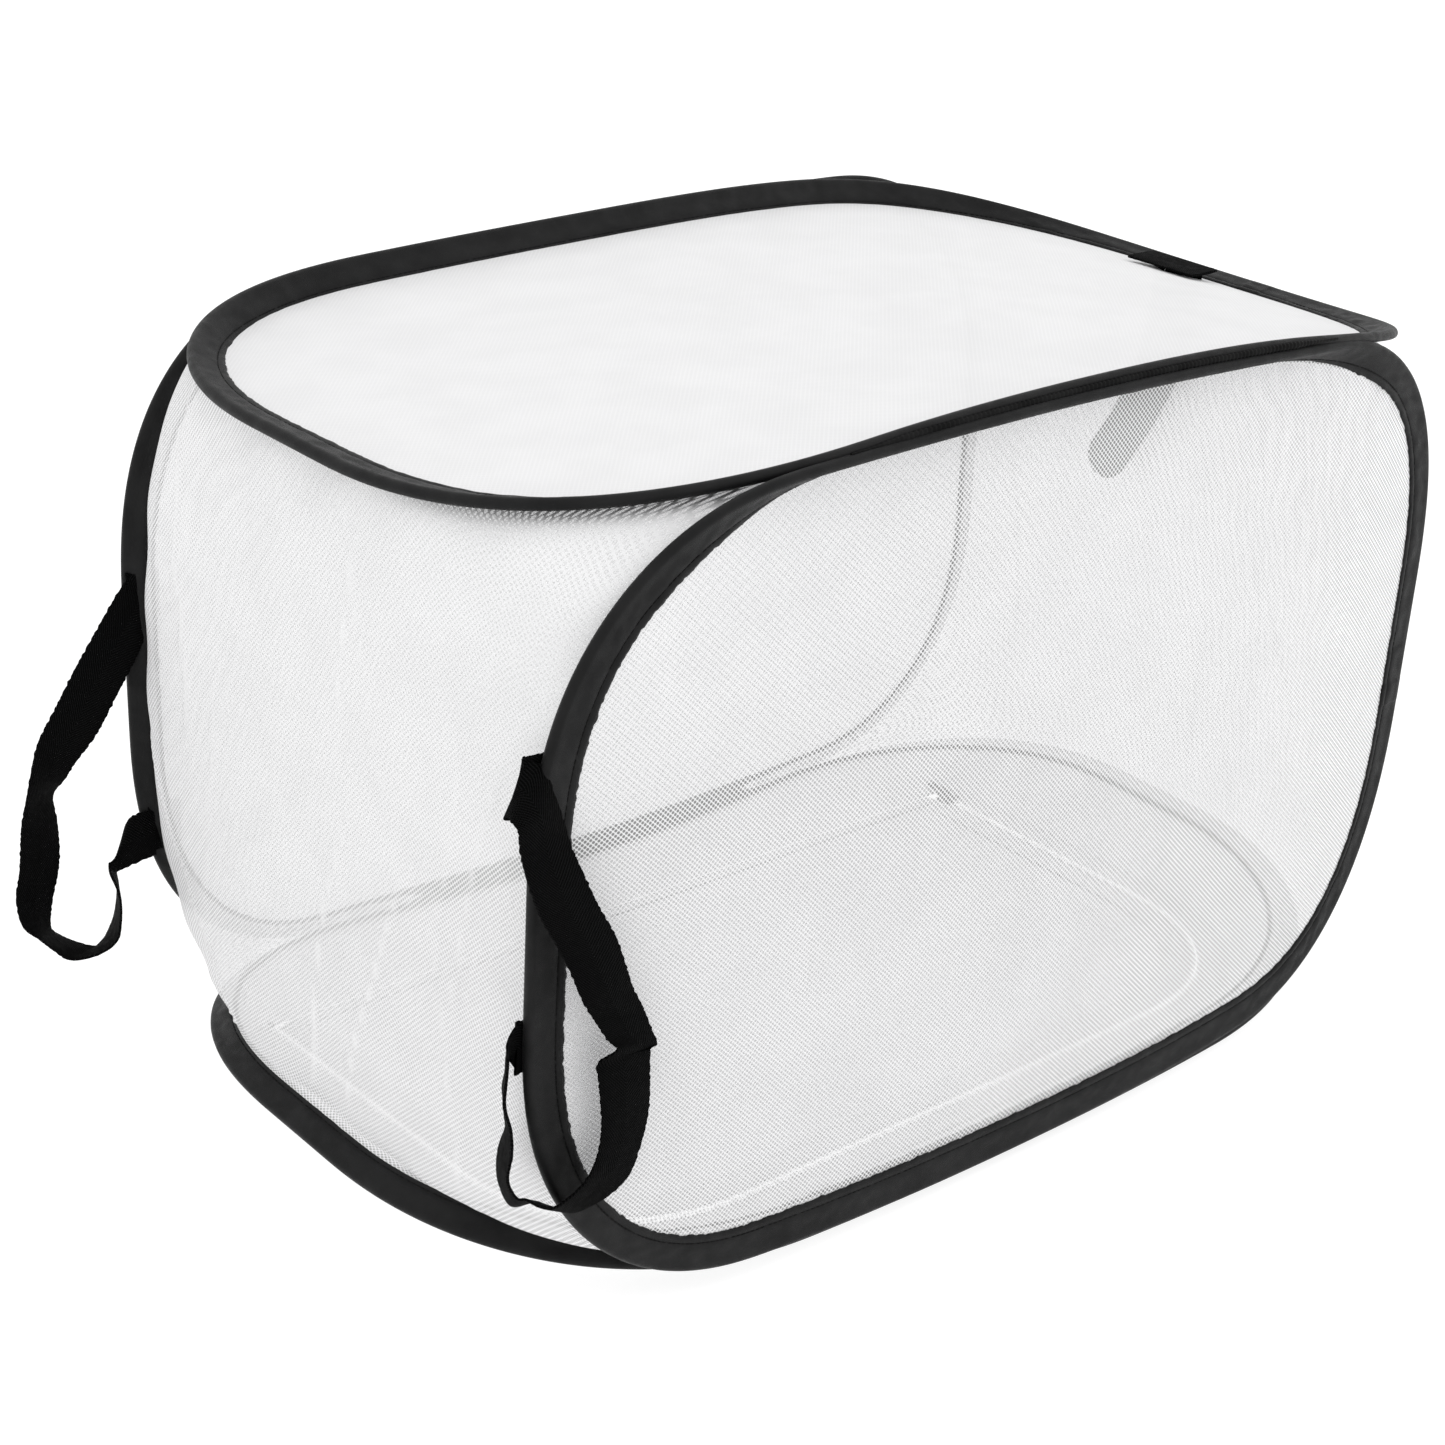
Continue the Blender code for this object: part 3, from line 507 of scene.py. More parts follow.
class Finishes:
    """Every finish of the cage, made once."""

    def __init__(self) -> None:
        """Makes the materials."""
        self.casing = Taffeta().material()
        self.front_mesh = Knit("front_wall_mesh", filled=0.30).material()
        self.back_mesh = Knit("back_wall_mesh", filled=0.55).material()
        self.top_mesh = Knit("top_wall_mesh", filled=0.93).material()
        self.end_mesh = Knit("end_wall_mesh", filled=0.50).material()
        # the floor's mesh is the walls' white knit with darker colours, painted shade for the floor inside
        # the cage; it also lets less through
        self.floor_mesh_painted_shade = Knit("floor_mesh_painted_shade", (0.68, 0.68, 0.685), (0.65, 0.65, 0.66), filled=0.9).material()
        self.webbing = Webbing().material()
        self.tape = Tape().material()
        self.coil = Solid("zip_coil_nylon", (0.78, 0.78, 0.78), (0.86, 0.86, 0.86), roughness=0.3).material()
        self.thread = Solid("sewing_thread", (0.003, 0.003, 0.003), (0.009, 0.009, 0.009), roughness=0.6,
                            gloss=0.08, grain=2500.0, depth=0.00005).material()
        self.steel = Solid("spring_steel", (0.42, 0.42, 0.43), (0.55, 0.55, 0.56), 1.0, 0.3).material()
        self.black_metal = Solid("painted_zip_metal", (0.020, 0.020, 0.021), (0.035, 0.035, 0.036), 0.6,
                                 0.35).material()


def dress(made: bpy.types.Object, finish: bpy.types.Material, body: str | None, slot: str,
          *nodes: str) -> bpy.types.Object:
    """Gives a piece its finish and body, and hides the CAD nodes that it stands for.

    Args:
        made: The piece.
        finish: Its material.
        body: The CAD body that it rides on, or None where it is left without one.
        slot: Not used.
        *nodes: CAD nodes that it replaces.

    Returns:
        The piece.
    """
    made.data.materials.clear()
    made.data.materials.append(finish)
    if body:
        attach(made, body)
    if nodes:
        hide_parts(*nodes)
    log.info("%s: %d faces, rides on %s", made.name, len(made.data.polygons), body or "two bodies")
    return made


# The cage's own measures

@dataclass
class Cage:
    """Where the CAD's hoops stand, read from their boxes."""
    x: float
    y: float
    z: float
    half_width: float
    half_height: float
    top: float
    bottom: float
    front: float
    back: float

    @classmethod
    def read(cls) -> "Cage":
        """Reads the four casings' boxes.

        Returns:
            The middle of the cage, the hoops' half widths and the levels of their middle planes.
        """
        (low_b, high_b), (low_f, high_f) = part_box("bottom_casing"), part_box("front_casing")
        (low_t, high_t), (low_k, high_k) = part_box("top_casing"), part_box("back_casing")
        return cls(x=(low_b.x + high_b.x) / 2, y=(low_b.y + high_b.y) / 2, z=(low_f.z + high_f.z) / 2,
                   half_width=(high_b.y - low_b.y) / 2, half_height=(high_f.z - low_f.z) / 2,
                   top=(low_t.z + high_t.z) / 2, bottom=(low_b.z + high_b.z) / 2,
                   front=(low_f.y + high_f.y) / 2, back=(low_k.y + high_k.y) / 2)


class Side(Enum):
    """The four hoops, each with the way its plane looks."""
    TOP = ((0, 1, 0), (0, 0, 1))
    BOTTOM = ((0, 1, 0), (0, 0, -1))
    FRONT = ((0, 0, 1), (0, -1, 0))
    BACK = ((0, 0, 1), (0, 1, 0))


@dataclass(frozen=True)
class Meeting:
    """The line where two hoops meet: how far it lies off the CAD's, bows and leans along X."""
    y: float = 0.0
    z: float = 0.0
    bow: float = 0.0
    skew: float = 0.0

    def shift(self, share: Array) -> Array:
        """Its shift at a signed share of the hoop's half length: its own, a parabola and an S along Z."""
        lift = self.z + self.bow * share ** 2 + self.skew * share * (1 - share ** 2)
        return np.stack([0 * share, self.y + 0 * share, lift], -1)


@dataclass
class Hoop:
    """A sprung wire in its fabric casing, with the mesh wall that it carries.

    The outline has long straight sides and superelliptic corners, |x/run|^p + |y/rise|^p = 1. Its two long
    sides follow the lines where it meets its neighbours, and what lies between is shifted by a linear mix of
    the two. The hoop also dips into the cage towards both ends, by dip * (|u| / half length)^power. Its band
    turns into the cage about the bead: by one angle along each long side and one at each end, where the end
    wall pulls it inwards.
    """
    name: str
    side: Side
    body: str
    cage: Cage
    half_length: float
    left_dip: float
    right_dip: float
    run: float
    rise: float
    power: float
    low: Meeting
    high: Meeting
    low_angle: float = 0.2
    high_angle: float = 0.2
    left_angle: float = 0.0
    right_angle: float = 0.0
    fade: tuple = (0.5, 1.0)
    near: float = 0.0012
    shift: float = 0.0
    dip_power: float = 3.12
    band: float = 0.0182
    bead: float = 0.0026
    stitch_line: float = 0.0142
    stitch_pitch: float = 0.0032
    wire: float = 0.00125
    seed: int = 1
    stations: int = 1150

    def __post_init__(self) -> None:
        """Works out the hoop's middle, its half width and its outline at even steps."""
        c = self.cage
        level = {Side.TOP: (c.x, c.y, c.top), Side.BOTTOM: (c.x, c.y, c.bottom),
                 Side.FRONT: (c.x, c.front, c.z), Side.BACK: (c.x, c.back, c.z)}[self.side]
        self.middle = np.array(level) + [self.shift, 0, 0]
        self.v_way, self.n_way = (np.array(w, float) for w in self.side.value)
        self.flip = float(np.dot(np.cross([1, 0, 0], self.v_way), self.n_way)) < 0
        self.half = self.near + (c.half_width if self.side in (Side.TOP, Side.BOTTOM) else c.half_height)
        self.rim = self.outline()
        step = unit(np.roll(self.rim, -1, 0) - np.roll(self.rim, 1, 0))
        self.inward = np.stack([-step[:, 1], step[:, 0]], -1)
        self.far = arc_length(np.vstack([self.rim, self.rim[:1]]))

    def outline(self) -> Array:
        """The outer edge as (u, v) points, counter-clockwise from the right end's middle, at even steps."""
        a, b = self.half_length, self.half
        turn = np.linspace(0, math.pi / 2, 200)
        arc = np.stack([a - self.run + self.run * np.cos(turn) ** (2 / self.power),
                        b - self.rise + self.rise * np.sin(turn) ** (2 / self.power)], -1)
        flat = np.stack([np.linspace(a - self.run, 0, 60)[1:-1], np.full(58, b)], -1)
        quarter = np.vstack([[[a, 0.0]], arc, flat])
        mirror = quarter[::-1] * [-1, 1]
        half = np.vstack([quarter, mirror])
        loop = np.vstack([half, (half[::-1] * [1, -1])[1:-1]])
        return even_steps(loop, self.stations, closed=True)

    def weight(self, v: Array) -> Array:
        """How far v lies from the low side to the high side, from 0 to 1."""
        return (v / self.half + 1) / 2

    def place(self, u: Array, v: Array, n: Array) -> Array:
        """Points in the row frame, from the hoop's own axes; n is measured from its dipped surface."""
        share = np.clip(u / self.half_length, -1.05, 1.05)
        out = n - np.where(u < 0, self.left_dip, self.right_dip) * np.abs(share) ** self.dip_power
        w = self.weight(v)[..., None]
        return (self.middle + u[..., None] * np.array([1.0, 0, 0]) + v[..., None] * self.v_way
                + out[..., None] * self.n_way + (1 - w) * self.low.shift(share) + w * self.high.shift(share))

    def angle(self, u: Array, v: Array) -> Array:
        """How far the band turns into the cage: linear in v along the sides, with an angle of each end."""
        start, stop = self.fade
        t = np.clip((np.abs(u) / self.half_length - start) / (stop - start), 0, 1)
        end = t * t * (3 - 2 * t)
        w = self.weight(v)
        return (((1 - w) * self.low_angle + w * self.high_angle) * (1 - end)
                + np.where(u < 0, self.left_angle, self.right_angle) * end)

    def at(self, inset: Array | float, n: Array | float, which: Array | slice = slice(None)) -> Array:
        """Points at an inset from the outer edge and a height over the band's face, at some stations."""
        rim, way = self.rim[which], self.inward[which]
        inset = np.asarray(inset)
        if inset.ndim == 2:
            rim, way = rim[:, None], way[:, None]
        turn = self.angle(rim[..., 0], rim[..., 1])
        arm = inset - self.bead
        reach = self.bead + arm * np.cos(turn) + n * np.sin(turn)
        spot = rim + reach[..., None] * way
        return self.place(spot[..., 0], spot[..., 1], n * np.cos(turn) - arm * np.sin(turn))

    def moved(self, point: Array) -> Array:
        """How far the dipped surface lies off the CAD's flat one, at a point of the row frame."""
        off = np.asarray(point, float) - self.middle
        flat = self.middle + off[0] * np.array([1.0, 0, 0]) + (off @ self.v_way) * self.v_way
        return self.place(off[0], off @ self.v_way, np.array(0.0)) - flat

    def section(self) -> tuple[Array, Array, Array]:
        """The casing's section: a round bead, a flat band that thins, a sewn groove and an inner lip.

        Returns:
            Insets, signed half thicknesses, and how far each point may ripple, right round the section.
        """
        turn = np.radians(np.linspace(55, 180, 7))
        bead = np.stack([self.bead * (1 + np.cos(turn)), self.bead * np.sin(turn), np.zeros(7)], -1)[1:-1]
        line = self.stitch_line
        face = np.array([(self.band + 0.0001, 0.00012, 0.3), (self.band - 0.0002, 0.00075, 0.4),
                         (self.band - 0.0016, 0.00115, 0.5), (line + 0.0010, 0.00105, 0.4),
                         (line, 0.00062, 0.15), (line - 0.0010, 0.00115, 0.5), (0.0112, 0.00150, 1.0),
                         (0.0092, 0.00165, 1.0), (0.0075, 0.00175, 0.8), (0.0061, 0.00195, 0.4),
                         (0.0050, 0.00220, 0.15)])
        upper = np.vstack([face, bead])
        tip = np.array([[0.0, 0.0, 0.0]])
        lower = upper[::-1] * [1, -1, 1]
        loop = np.vstack([upper, tip, lower])
        return loop[:, 0], loop[:, 1], loop[:, 2]

    def casing(self, finish: bpy.types.Material) -> bpy.types.Object:
        """The casing: its section carried round the outline, with ripples, a ragged lip and a lap joint."""
        inset, height, loose = self.section()
        s = self.far[:-1, None]
        corner = np.clip(1 - np.abs(self.inward).max(1) ** 6, 0, 1)[:, None]
        d = inset[None] + 0 * s
        # puckers slant across the band and grow in the corners, where the straight fabric is drawn round
        pucker = ripples(s, d, self.seed, 9, 0.012, 0.075, 2.2) * (0.00016 + 0.00030 * corner)
        pucker = pucker + ripples(s, d, self.seed + 50, 5, 0.11, 0.5, 0.5) * 0.00022
        ragged = ripples(s, d * 0, self.seed + 90, 9, 0.0035, 0.02) * 0.00032
        sink = np.where(inset > 0.017, 1.0, 0.0)[None]
        joint = self.joint_station()
        lap = np.clip((0.0075 - np.abs(s - self.far[joint])) / 0.001, 0, 1)
        thick = 1 + (0.28 * lap * (loose[None] > 0) + 0.05 * lap)
        h = height[None] * thick + pucker * loose[None]
        points = self.at(d + ragged * sink, h).reshape(-1, 3)
        section_far = arc_length(np.stack([inset, height], -1))
        section_far = np.append(section_far, section_far[-1] + 0.0003)
        made = piece_of(self.name + "_hoop_casing", points,
                        grid_quads(self.stations, len(inset), True, True, flip=not self.flip),
                        grid_uvs(self.far, section_far, flip=not self.flip))
        dress(made, finish, self.body, "casing_fabric", self.name + "_casing")
        self.flatten(made)
        return made

    def joint_station(self) -> int:
        """The station where the casing's two ends lap, on the right end's upper or back part."""
        aim = np.array([self.half_length, -0.15 * self.half])
        return int(np.argmin(np.linalg.norm(self.rim - aim, axis=1)))

    def stitches(self, finish: bpy.types.Material) -> bpy.types.Object:
        """Two rows of stitches, one on each face of the band, in the sewn groove."""
        count = int(self.far[-1] / self.stitch_pitch)
        which = np.round(np.linspace(0, self.stations, count + 1)[:-1]).astype(int) % self.stations
        ahead = (which + 2) % self.stations
        rows, ways = [], []
        for face in (1, -1):
            here = self.at(np.full(count, self.stitch_line), face * 0.00080, which)
            rows.append(here)
            ways.append(self.at(np.full(count, self.stitch_line), face * 0.00080, ahead) - here)
        places, along = np.vstack(rows), np.vstack(ways)
        up = np.repeat([self.n_way, -self.n_way], count, axis=0)
        made = studs(self.name + "_casing_stitches", places, along, up, 0.0024, 0.00062, 0.0005)
        dress(made, finish, self.body, "casing_fabric")
        self.flatten(made)
        return made

    def spring(self, steel: bpy.types.Material) -> None:
        """The spring wire inside the bead, and the crimped sleeve over its two ends."""
        line = self.at(np.full(self.stations, self.bead), 0.0)[::2]
        wire = tube(self.name + "_hoop_wire", line, self.wire, 8, True)
        dress(wire, steel, self.body, "steel", self.name + "_spring_wire")
        low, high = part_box(self.name + "_wire_sleeve")
        near = int(np.argmin(np.linalg.norm(line - np.array((low + high) / 2), axis=1)))
        span = np.linalg.norm(line[1] - line[0])
        reach = int(0.015 / span)
        part = even_steps(line[(np.arange(-reach, reach + 1) + near) % len(line)], 25)
        crimp = 0.0020 - 0.00028 * np.exp(-((np.arange(25)[:, None] - np.array([6, 18])) / 1.6) ** 2).sum(1)
        sleeve = tube(self.name + "_crimped_sleeve", part, np.repeat(crimp[:, None], 12, 1), 12, False)
        dress(sleeve, steel, self.body, "steel", self.name + "_wire_sleeve")
        self.flatten(wire)
        self.flatten(sleeve)

    def half_chord(self, u: Array, edge: Array, way: int) -> Array:
        """The edge's v at u on its low or high side, by interpolation along each half of that side.

        Args:
            u: Where, in any shape.
            edge: A loop of (u, v) points.
            way: -1 for the low side and 1 for the high one.

        Returns:
            The v of that side, in the shape of u.
        """
        out = np.zeros_like(u)
        for end in (-1, 1):
            side = edge[(end * edge[:, 0] > -0.002) & (way * edge[:, 1] > -0.0005)]
            side = side[np.argsort(end * side[:, 0])]
            high = np.maximum.accumulate(way * side[::-1, 1])[::-1]
            out = np.where(end * u >= 0, way * np.interp(end * u, end * side[:, 0], high), out)
        return out

    def wall(self, finish: bpy.types.Material, node: str, relax: float = 0.0006) -> bpy.types.Object:
        """The mesh wall: columns of points between the casing's lips, with waves that die out at its edge."""
        arm = self.band - LIP - self.bead
        edge = self.rim + (self.bead + arm * np.cos(self.angle(*self.rim.T)))[:, None] * self.inward
        first, last = float(edge[:, 0].min()) + 0.0002, float(edge[:, 0].max()) - 0.0002
        reach = (last - first) / 2
        u = first + reach * (1 + np.sin(np.linspace(-1, 1, 181) * math.pi / 2)[:, None])
        t = np.linspace(-1, 1, 101)[None]
        low, high = (self.half_chord(u, edge, way) for way in (-1, 1))
        v = (low + high) / 2 + t * (high - low) / 2
        fade = (1 - t ** 2) * np.cos(np.linspace(-1, 1, 181) * math.pi / 2)[:, None] ** 2
        wave = ripples(u + 0 * t, v, self.seed + 7, 7, 0.05, 0.4, 1.5) * relax * fade
        depth = -arm * np.sin(self.angle(u + 0 * t, v))
        points = self.place(u + 0 * t, v, wave + depth).reshape(-1, 3)
        quads = grid_quads(181, 101, flip=not self.flip)
        flat = np.stack([(u + 0 * t).ravel(), v.ravel()], -1)
        made = piece_of(node + "_panel", points, quads, flat[quads.ravel()])
        dress(made, finish, self.body, "mesh_fabric", node)
        self.flatten(made)
        return made

    def flatten(self, made: bpy.types.Object, keep: float = 0.12) -> None:
        """Gives the piece a mesh of its own."""
        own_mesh(made)


# End walls

@dataclass
class EndWall:
    """The mesh sewn between the four hoops' ends, drawn in at its corners to where the hoops meet.

    Across it p runs from front to back and q from bottom to top, both from -1 to 1. Its depth is the hoops'
    end plus the product of two draws, one for each way, and its place across is a Coons patch of its four
    sewn edges.
    """
    name: str
    node: str
    way: int
    hoops: dict[str, Hoop]
    cage: Cage
    seam_end: float = 0.115
    edge_inset: float = 0.0165
    sewn: float = -0.0013
    bulge: float = 0.006
    crease_height: float = 0.0016
    slack_height: float = 0.0011
    hem_margin: float = 1.04
    rows: int = 121
    creases: int = 12
    seed: int = 5

    def edge(self, hoop: Hoop, sewn: float) -> Array:
        """The hoop's sewn edge on this end: from one seam's end round to the other, in rising v."""
        which = np.flatnonzero(self.way * hoop.rim[:, 0] > self.seam_end)
        which = which[np.argsort(np.arctan2(hoop.rim[which, 1], np.abs(hoop.rim[which, 0])))]
        return even_steps(hoop.at(np.full(len(which), self.edge_inset), sewn, which), self.rows)

    def sewn_edges(self, share: Array) -> tuple[Array, Array, Array, Array, dict]:
        """The four hoops' sewn edges, each drawn over its last steps to the corners where it meets the next.

        Args:
            share: Where along each edge, from -1 to 1.

        Returns:
            The top, bottom, front and back edges, and the four corners by their two sides' letters.
        """
        top, bottom, front, back = (self.edge(self.hoops[k], self.sewn)
                                    for k in ("top", "bottom", "front", "back"))
        corners = {("b", "f"): (bottom[0] + front[0]) / 2, ("t", "f"): (top[0] + front[-1]) / 2,
                   ("b", "k"): (bottom[-1] + back[0]) / 2, ("t", "k"): (top[-1] + back[-1]) / 2}
        near = np.clip((np.abs(share) - 0.86) / 0.14, 0, 1)[:, None] ** 2

        def join(edge: Array, first: tuple, last: tuple) -> Array:
            """The edge, drawn to its two corners."""
            target = np.where((share < 0)[:, None], corners[first], corners[last])
            return edge * (1 - near) + target * near

        return (join(top, ("t", "f"), ("t", "k")), join(bottom, ("b", "f"), ("b", "k")),
                join(front, ("b", "f"), ("t", "f")), join(back, ("b", "k"), ("t", "k")), corners)

    def build(self, finish: bpy.types.Material) -> bpy.types.Object:
        """Builds the wall, sets its creases and sews it between the hoops."""
        c, n = self.cage, self.rows
        share = np.linspace(-1, 1, n)
        top, bottom, front, back, corners = self.sewn_edges(share)
        p, q = share[:, None], share[None, :]
        wp, wq = (p + 1) / 2, (q + 1) / 2
        across = (wq[..., None] * top[:, None] + (1 - wq[..., None]) * bottom[:, None]
                  + wp[..., None] * back[None] + (1 - wp[..., None]) * front[None]
                  - wp[..., None] * wq[..., None] * top[-1] - (1 - wp[..., None]) * wq[..., None] * top[0]
                  - wp[..., None] * (1 - wq[..., None]) * bottom[-1]
                  - (1 - wp[..., None]) * (1 - wq[..., None]) * bottom[0])
        x = self.depth(top, bottom, front, back, corners, p, q)
        fade = (1 - p ** 2) * (1 - q ** 2)
        x = x + self.way * self.bulge * fade
        # exact sewn edges: what is left over at each edge fades out inwards
        for edge, take, weight in ((top, (slice(None), -1), wq ** 12),
                                   (bottom, (slice(None), 0), (1 - wq) ** 12)):
            x = x + (edge[:, 0] - x[take])[:, None] * weight
        for edge, take, weight in ((back, (-1, slice(None)), wp ** 12),
                                   (front, (0, slice(None)), (1 - wp) ** 12)):
            x = x + (edge[:, 0] - x[take])[None] * weight
        across[..., 0] = x
        ridge = self.ridges(across[..., 1], across[..., 2]) * np.clip(fade * 6, 0, 1)
        slack = ripples(across[..., 1], across[..., 2], self.seed, 8, 0.05, 0.35, 1.8) * self.slack_height
        across[..., 0] += self.way * (self.crease_height * ridge + slack * np.clip(fade * 3, 0, 1))
        u_line = np.cumsum(np.pad(np.linalg.norm(np.diff(across[:, n // 2], axis=0), axis=1), (1, 0)))
        v_line = np.cumsum(np.pad(np.linalg.norm(np.diff(across[n // 2], axis=0), axis=1), (1, 0)))
        flip = self.way < 0
        made = piece_of(self.name, across.reshape(-1, 3), grid_quads(n, n, flip=flip),
                        grid_uvs(u_line, v_line, flip), shades={"crease": ridge.ravel()})
        dress(made, finish, "base", "mesh_fabric", self.node)
        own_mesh(made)
        return made

    def depth(self, top: Array, bottom: Array, front: Array, back: Array, corners: dict, p: Array,
              q: Array) -> Array:
        """The wall's x before its bulge: the hoops' ends, drawn in towards the corners.

        Args:
            top: The top hoop's sewn edge.
            bottom: The bottom hoop's.
            front: The front hoop's.
            back: The back hoop's.
            corners: Where the edges meet.
            p: Shares from front to back, as a column.
            q: Shares from bottom to top, as a row.

        Returns:
            A grid of x.
        """
        wp, wq = (p + 1) / 2, (q + 1) / 2
        deep = {k: e[:, 0].min() if self.way < 0 else e[:, 0].max()
                for k, e in (("t", top), ("b", bottom), ("f", front), ("k", back))}
        corner_x = {k: v[0] for k, v in corners.items()}
        draw_p = (wq * ((top[:, 0] - deep["t"]) / (corner_x["t", "f"] - deep["t"]))[:, None]
                  + (1 - wq) * ((bottom[:, 0] - deep["b"]) / (corner_x["b", "f"] - deep["b"]))[:, None])
        draw_q = (wp * ((back[:, 0] - deep["k"]) / (corner_x["b", "k"] - deep["k"]))[None]
                  + (1 - wp) * ((front[:, 0] - deep["f"]) / (corner_x["b", "f"] - deep["f"]))[None])
        tiny = 1e-4
        near_q, near_p = 1 / (1 - q ** 2 + tiny), 1 / (1 - p ** 2 + tiny)
        deep_q, deep_p = wq * deep["t"] + (1 - wq) * deep["b"], wp * deep["k"] + (1 - wp) * deep["f"]
        base = (near_q * deep_q + near_p * deep_p) / (near_q + near_p)
        corner = (wp * wq * corner_x["t", "k"] + (1 - wp) * wq * corner_x["t", "f"]
                  + wp * (1 - wq) * corner_x["b", "k"] + (1 - wp) * (1 - wq) * corner_x["b", "f"])
        return base + (corner - base) * np.clip(draw_p, 0, 1) * np.clip(draw_q, 0, 1)

    def ridges(self, y: Array, z: Array) -> Array:
        """Sharp creases: the sum of narrow bells about slanting lines, each fading towards its two ends."""
        draw = np.random.default_rng(self.seed)
        total = np.zeros_like(y)
        for _ in range(self.creases):
            angle = draw.uniform(1.05, 2.1)
            mid = np.array([draw.uniform(-0.12, 0.12) + self.cage.y, draw.uniform(-0.13, 0.14) + self.cage.z])
            run = draw.uniform(0.04, 0.11)
            bend = draw.uniform(-1.5, 1.5)
            along = (y - mid[0]) * math.cos(angle) + (z - mid[1]) * math.sin(angle)
            off = -(y - mid[0]) * math.sin(angle) + (z - mid[1]) * math.cos(angle) + bend * along ** 2
            total += draw.uniform(0.4, 1.0) * np.exp(-(off / 0.0016) ** 2) * np.exp(-(along / run) ** 4)
        return np.clip(total, 0, 1)


# Floor, door and zip

@dataclass
class Floor:
    """The floor: a mesh border, the zipped mesh door, and the zip's tapes and coils along a U."""
    hoop: Hoop
    cage: Cage
    half_length: float = 0.238
    front_inset: float = 0.038
    corner: float = 0.100
    power: float = 2.3
    tape_near: float = 0.0026
    tape_far: float = 0.0176
    tape_gap: float = 0.0006
    tooth_pitch: float = 0.0020
    tooth_end: float = 0.001
    door_start: float = 0.0166
    door_end: float = 0.003
    set_back: float = 0.006

    def __post_init__(self) -> None:
        """Reads the hinge line and the levels of the CAD's door and tapes."""
        low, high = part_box("door_mesh")
        self.hinge, self.level = high.y, (low.z + high.z) / 2
        low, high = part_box("outer_zip_tape")
        self.tape_low, self.tape_high = low.z, high.z
        self.front = self.cage.y - self.cage.half_width - 0.00015 + self.front_inset

    def route(self, offset: float, count: int = 400) -> Array:
        """The zip's U at a sideways offset: straight legs and front, joined by |x/r|^p + |y/r|^p = 1."""
        radius = self.corner + offset
        side = self.half_length - self.corner
        front = self.front + self.corner
        turn = np.linspace(0, math.pi / 2, 80)
        arc = np.stack([side + radius * np.cos(turn) ** (2 / self.power),
                        front - radius * np.sin(turn) ** (2 / self.power)], -1)
        right = np.vstack([[[self.half_length + offset, self.hinge]], arc])
        line = np.vstack([right, right[::-1] * [-1, 1]])
        line[:, 0] += self.cage.x
        return even_steps(line, count)

    def zip_halves(self, tape: bpy.types.Material, coil: bpy.types.Material) -> None:
        """Both tapes, then both rows of teeth: outer halves on the floor, inner ones on the door."""
        self.tape("outer_tape", "outer_zip_tape", "base", 1, tape, 0.0, 0.0)
        self.tape("inner_tape", "inner_zip_tape", "door_flap", -1, tape, self.door_start, self.door_end)
        self.teeth("outer_teeth", "outer_zip_coil", "base", 1, coil, self.tooth_end, self.tooth_end)
        self.teeth("inner_teeth", "inner_zip_coil", "door_flap", -1, coil, 0.0172, 0.004)

    def tape(self, name: str, node: str, body: str, way: int, finish: bpy.types.Material, start: float,
             end: float) -> bpy.types.Object:
        """One half of the zip's tape: a strip of woven tape beside the teeth, with soft edges.

        Args:
            name: The piece's name.
            node: The CAD node that it stands for.
            body: The body that it rides on.
            way: 1 for the half outside the U and -1 for the half inside it.
            finish: Its material.
            start: Where it starts along the U, in metres from the right leg's back end.
            end: How far before the left leg's end it stops.

        Returns:
            The tape.
        """
        count = 420
        offsets = np.linspace(self.tape_near, self.tape_far, 7)
        lines = np.stack([self.route(way * o, count) for o in offsets], 1)
        if way > 0:
            lines = self.inside_casing(lines)
        far = arc_length(lines[:, 3])
        keep = (far >= start) & (far <= far[-1] - end)
        lines, far = lines[keep], far[keep]
        half = (self.tape_high - self.tape_low) / 2
        mid = (self.tape_high + self.tape_low) / 2
        edge = np.array([0.35, 0.9, 1, 1, 1, 0.9, 0.35]) * half
        wave = ripples(far[:, None], offsets[None], 31, 6, 0.02, 0.12) * 0.00010
        upper = np.dstack([lines, mid + wave + edge[None]])
        lower = np.dstack([lines, mid + wave - edge[None]])[:, ::-1]
        points = np.concatenate([upper, lower], 1)
        rows, columns = points.shape[:2]
        across = np.append(np.concatenate([offsets, offsets[-1] + (offsets[-1] - offsets[::-1])]), 0.04)
        flip = way > 0
        made = piece_of(name, points.reshape(-1, 3), grid_quads(rows, columns, False, True, flip=flip),
                        grid_uvs(far, across, flip=flip),
                        caps=[np.arange(columns)[::-1] if flip else np.arange(columns),
                              (np.arange(columns) if flip else np.arange(columns)[::-1])
                              + (rows - 1) * columns])
        return dress(made, finish, body, "zip_tape", node)

    def inside_casing(self, lines: Array) -> Array:
        """Draws the tape's outer points in until they lie inside the bottom casing's inner edge."""
        centre = np.array([self.cage.x, self.cage.y])
        inset = np.full(self.hoop.stations, self.hoop.band + self.tape_gap)
        angle, reach, _ = by_angle(self.hoop.at(inset, 0.0), centre)
        offset = lines - centre
        limit = np.interp(np.arctan2(offset[..., 1], offset[..., 0]), angle, reach, period=TAU)
        size = np.linalg.norm(offset, axis=-1)
        return centre + offset * np.minimum(1.0, limit / size)[..., None]

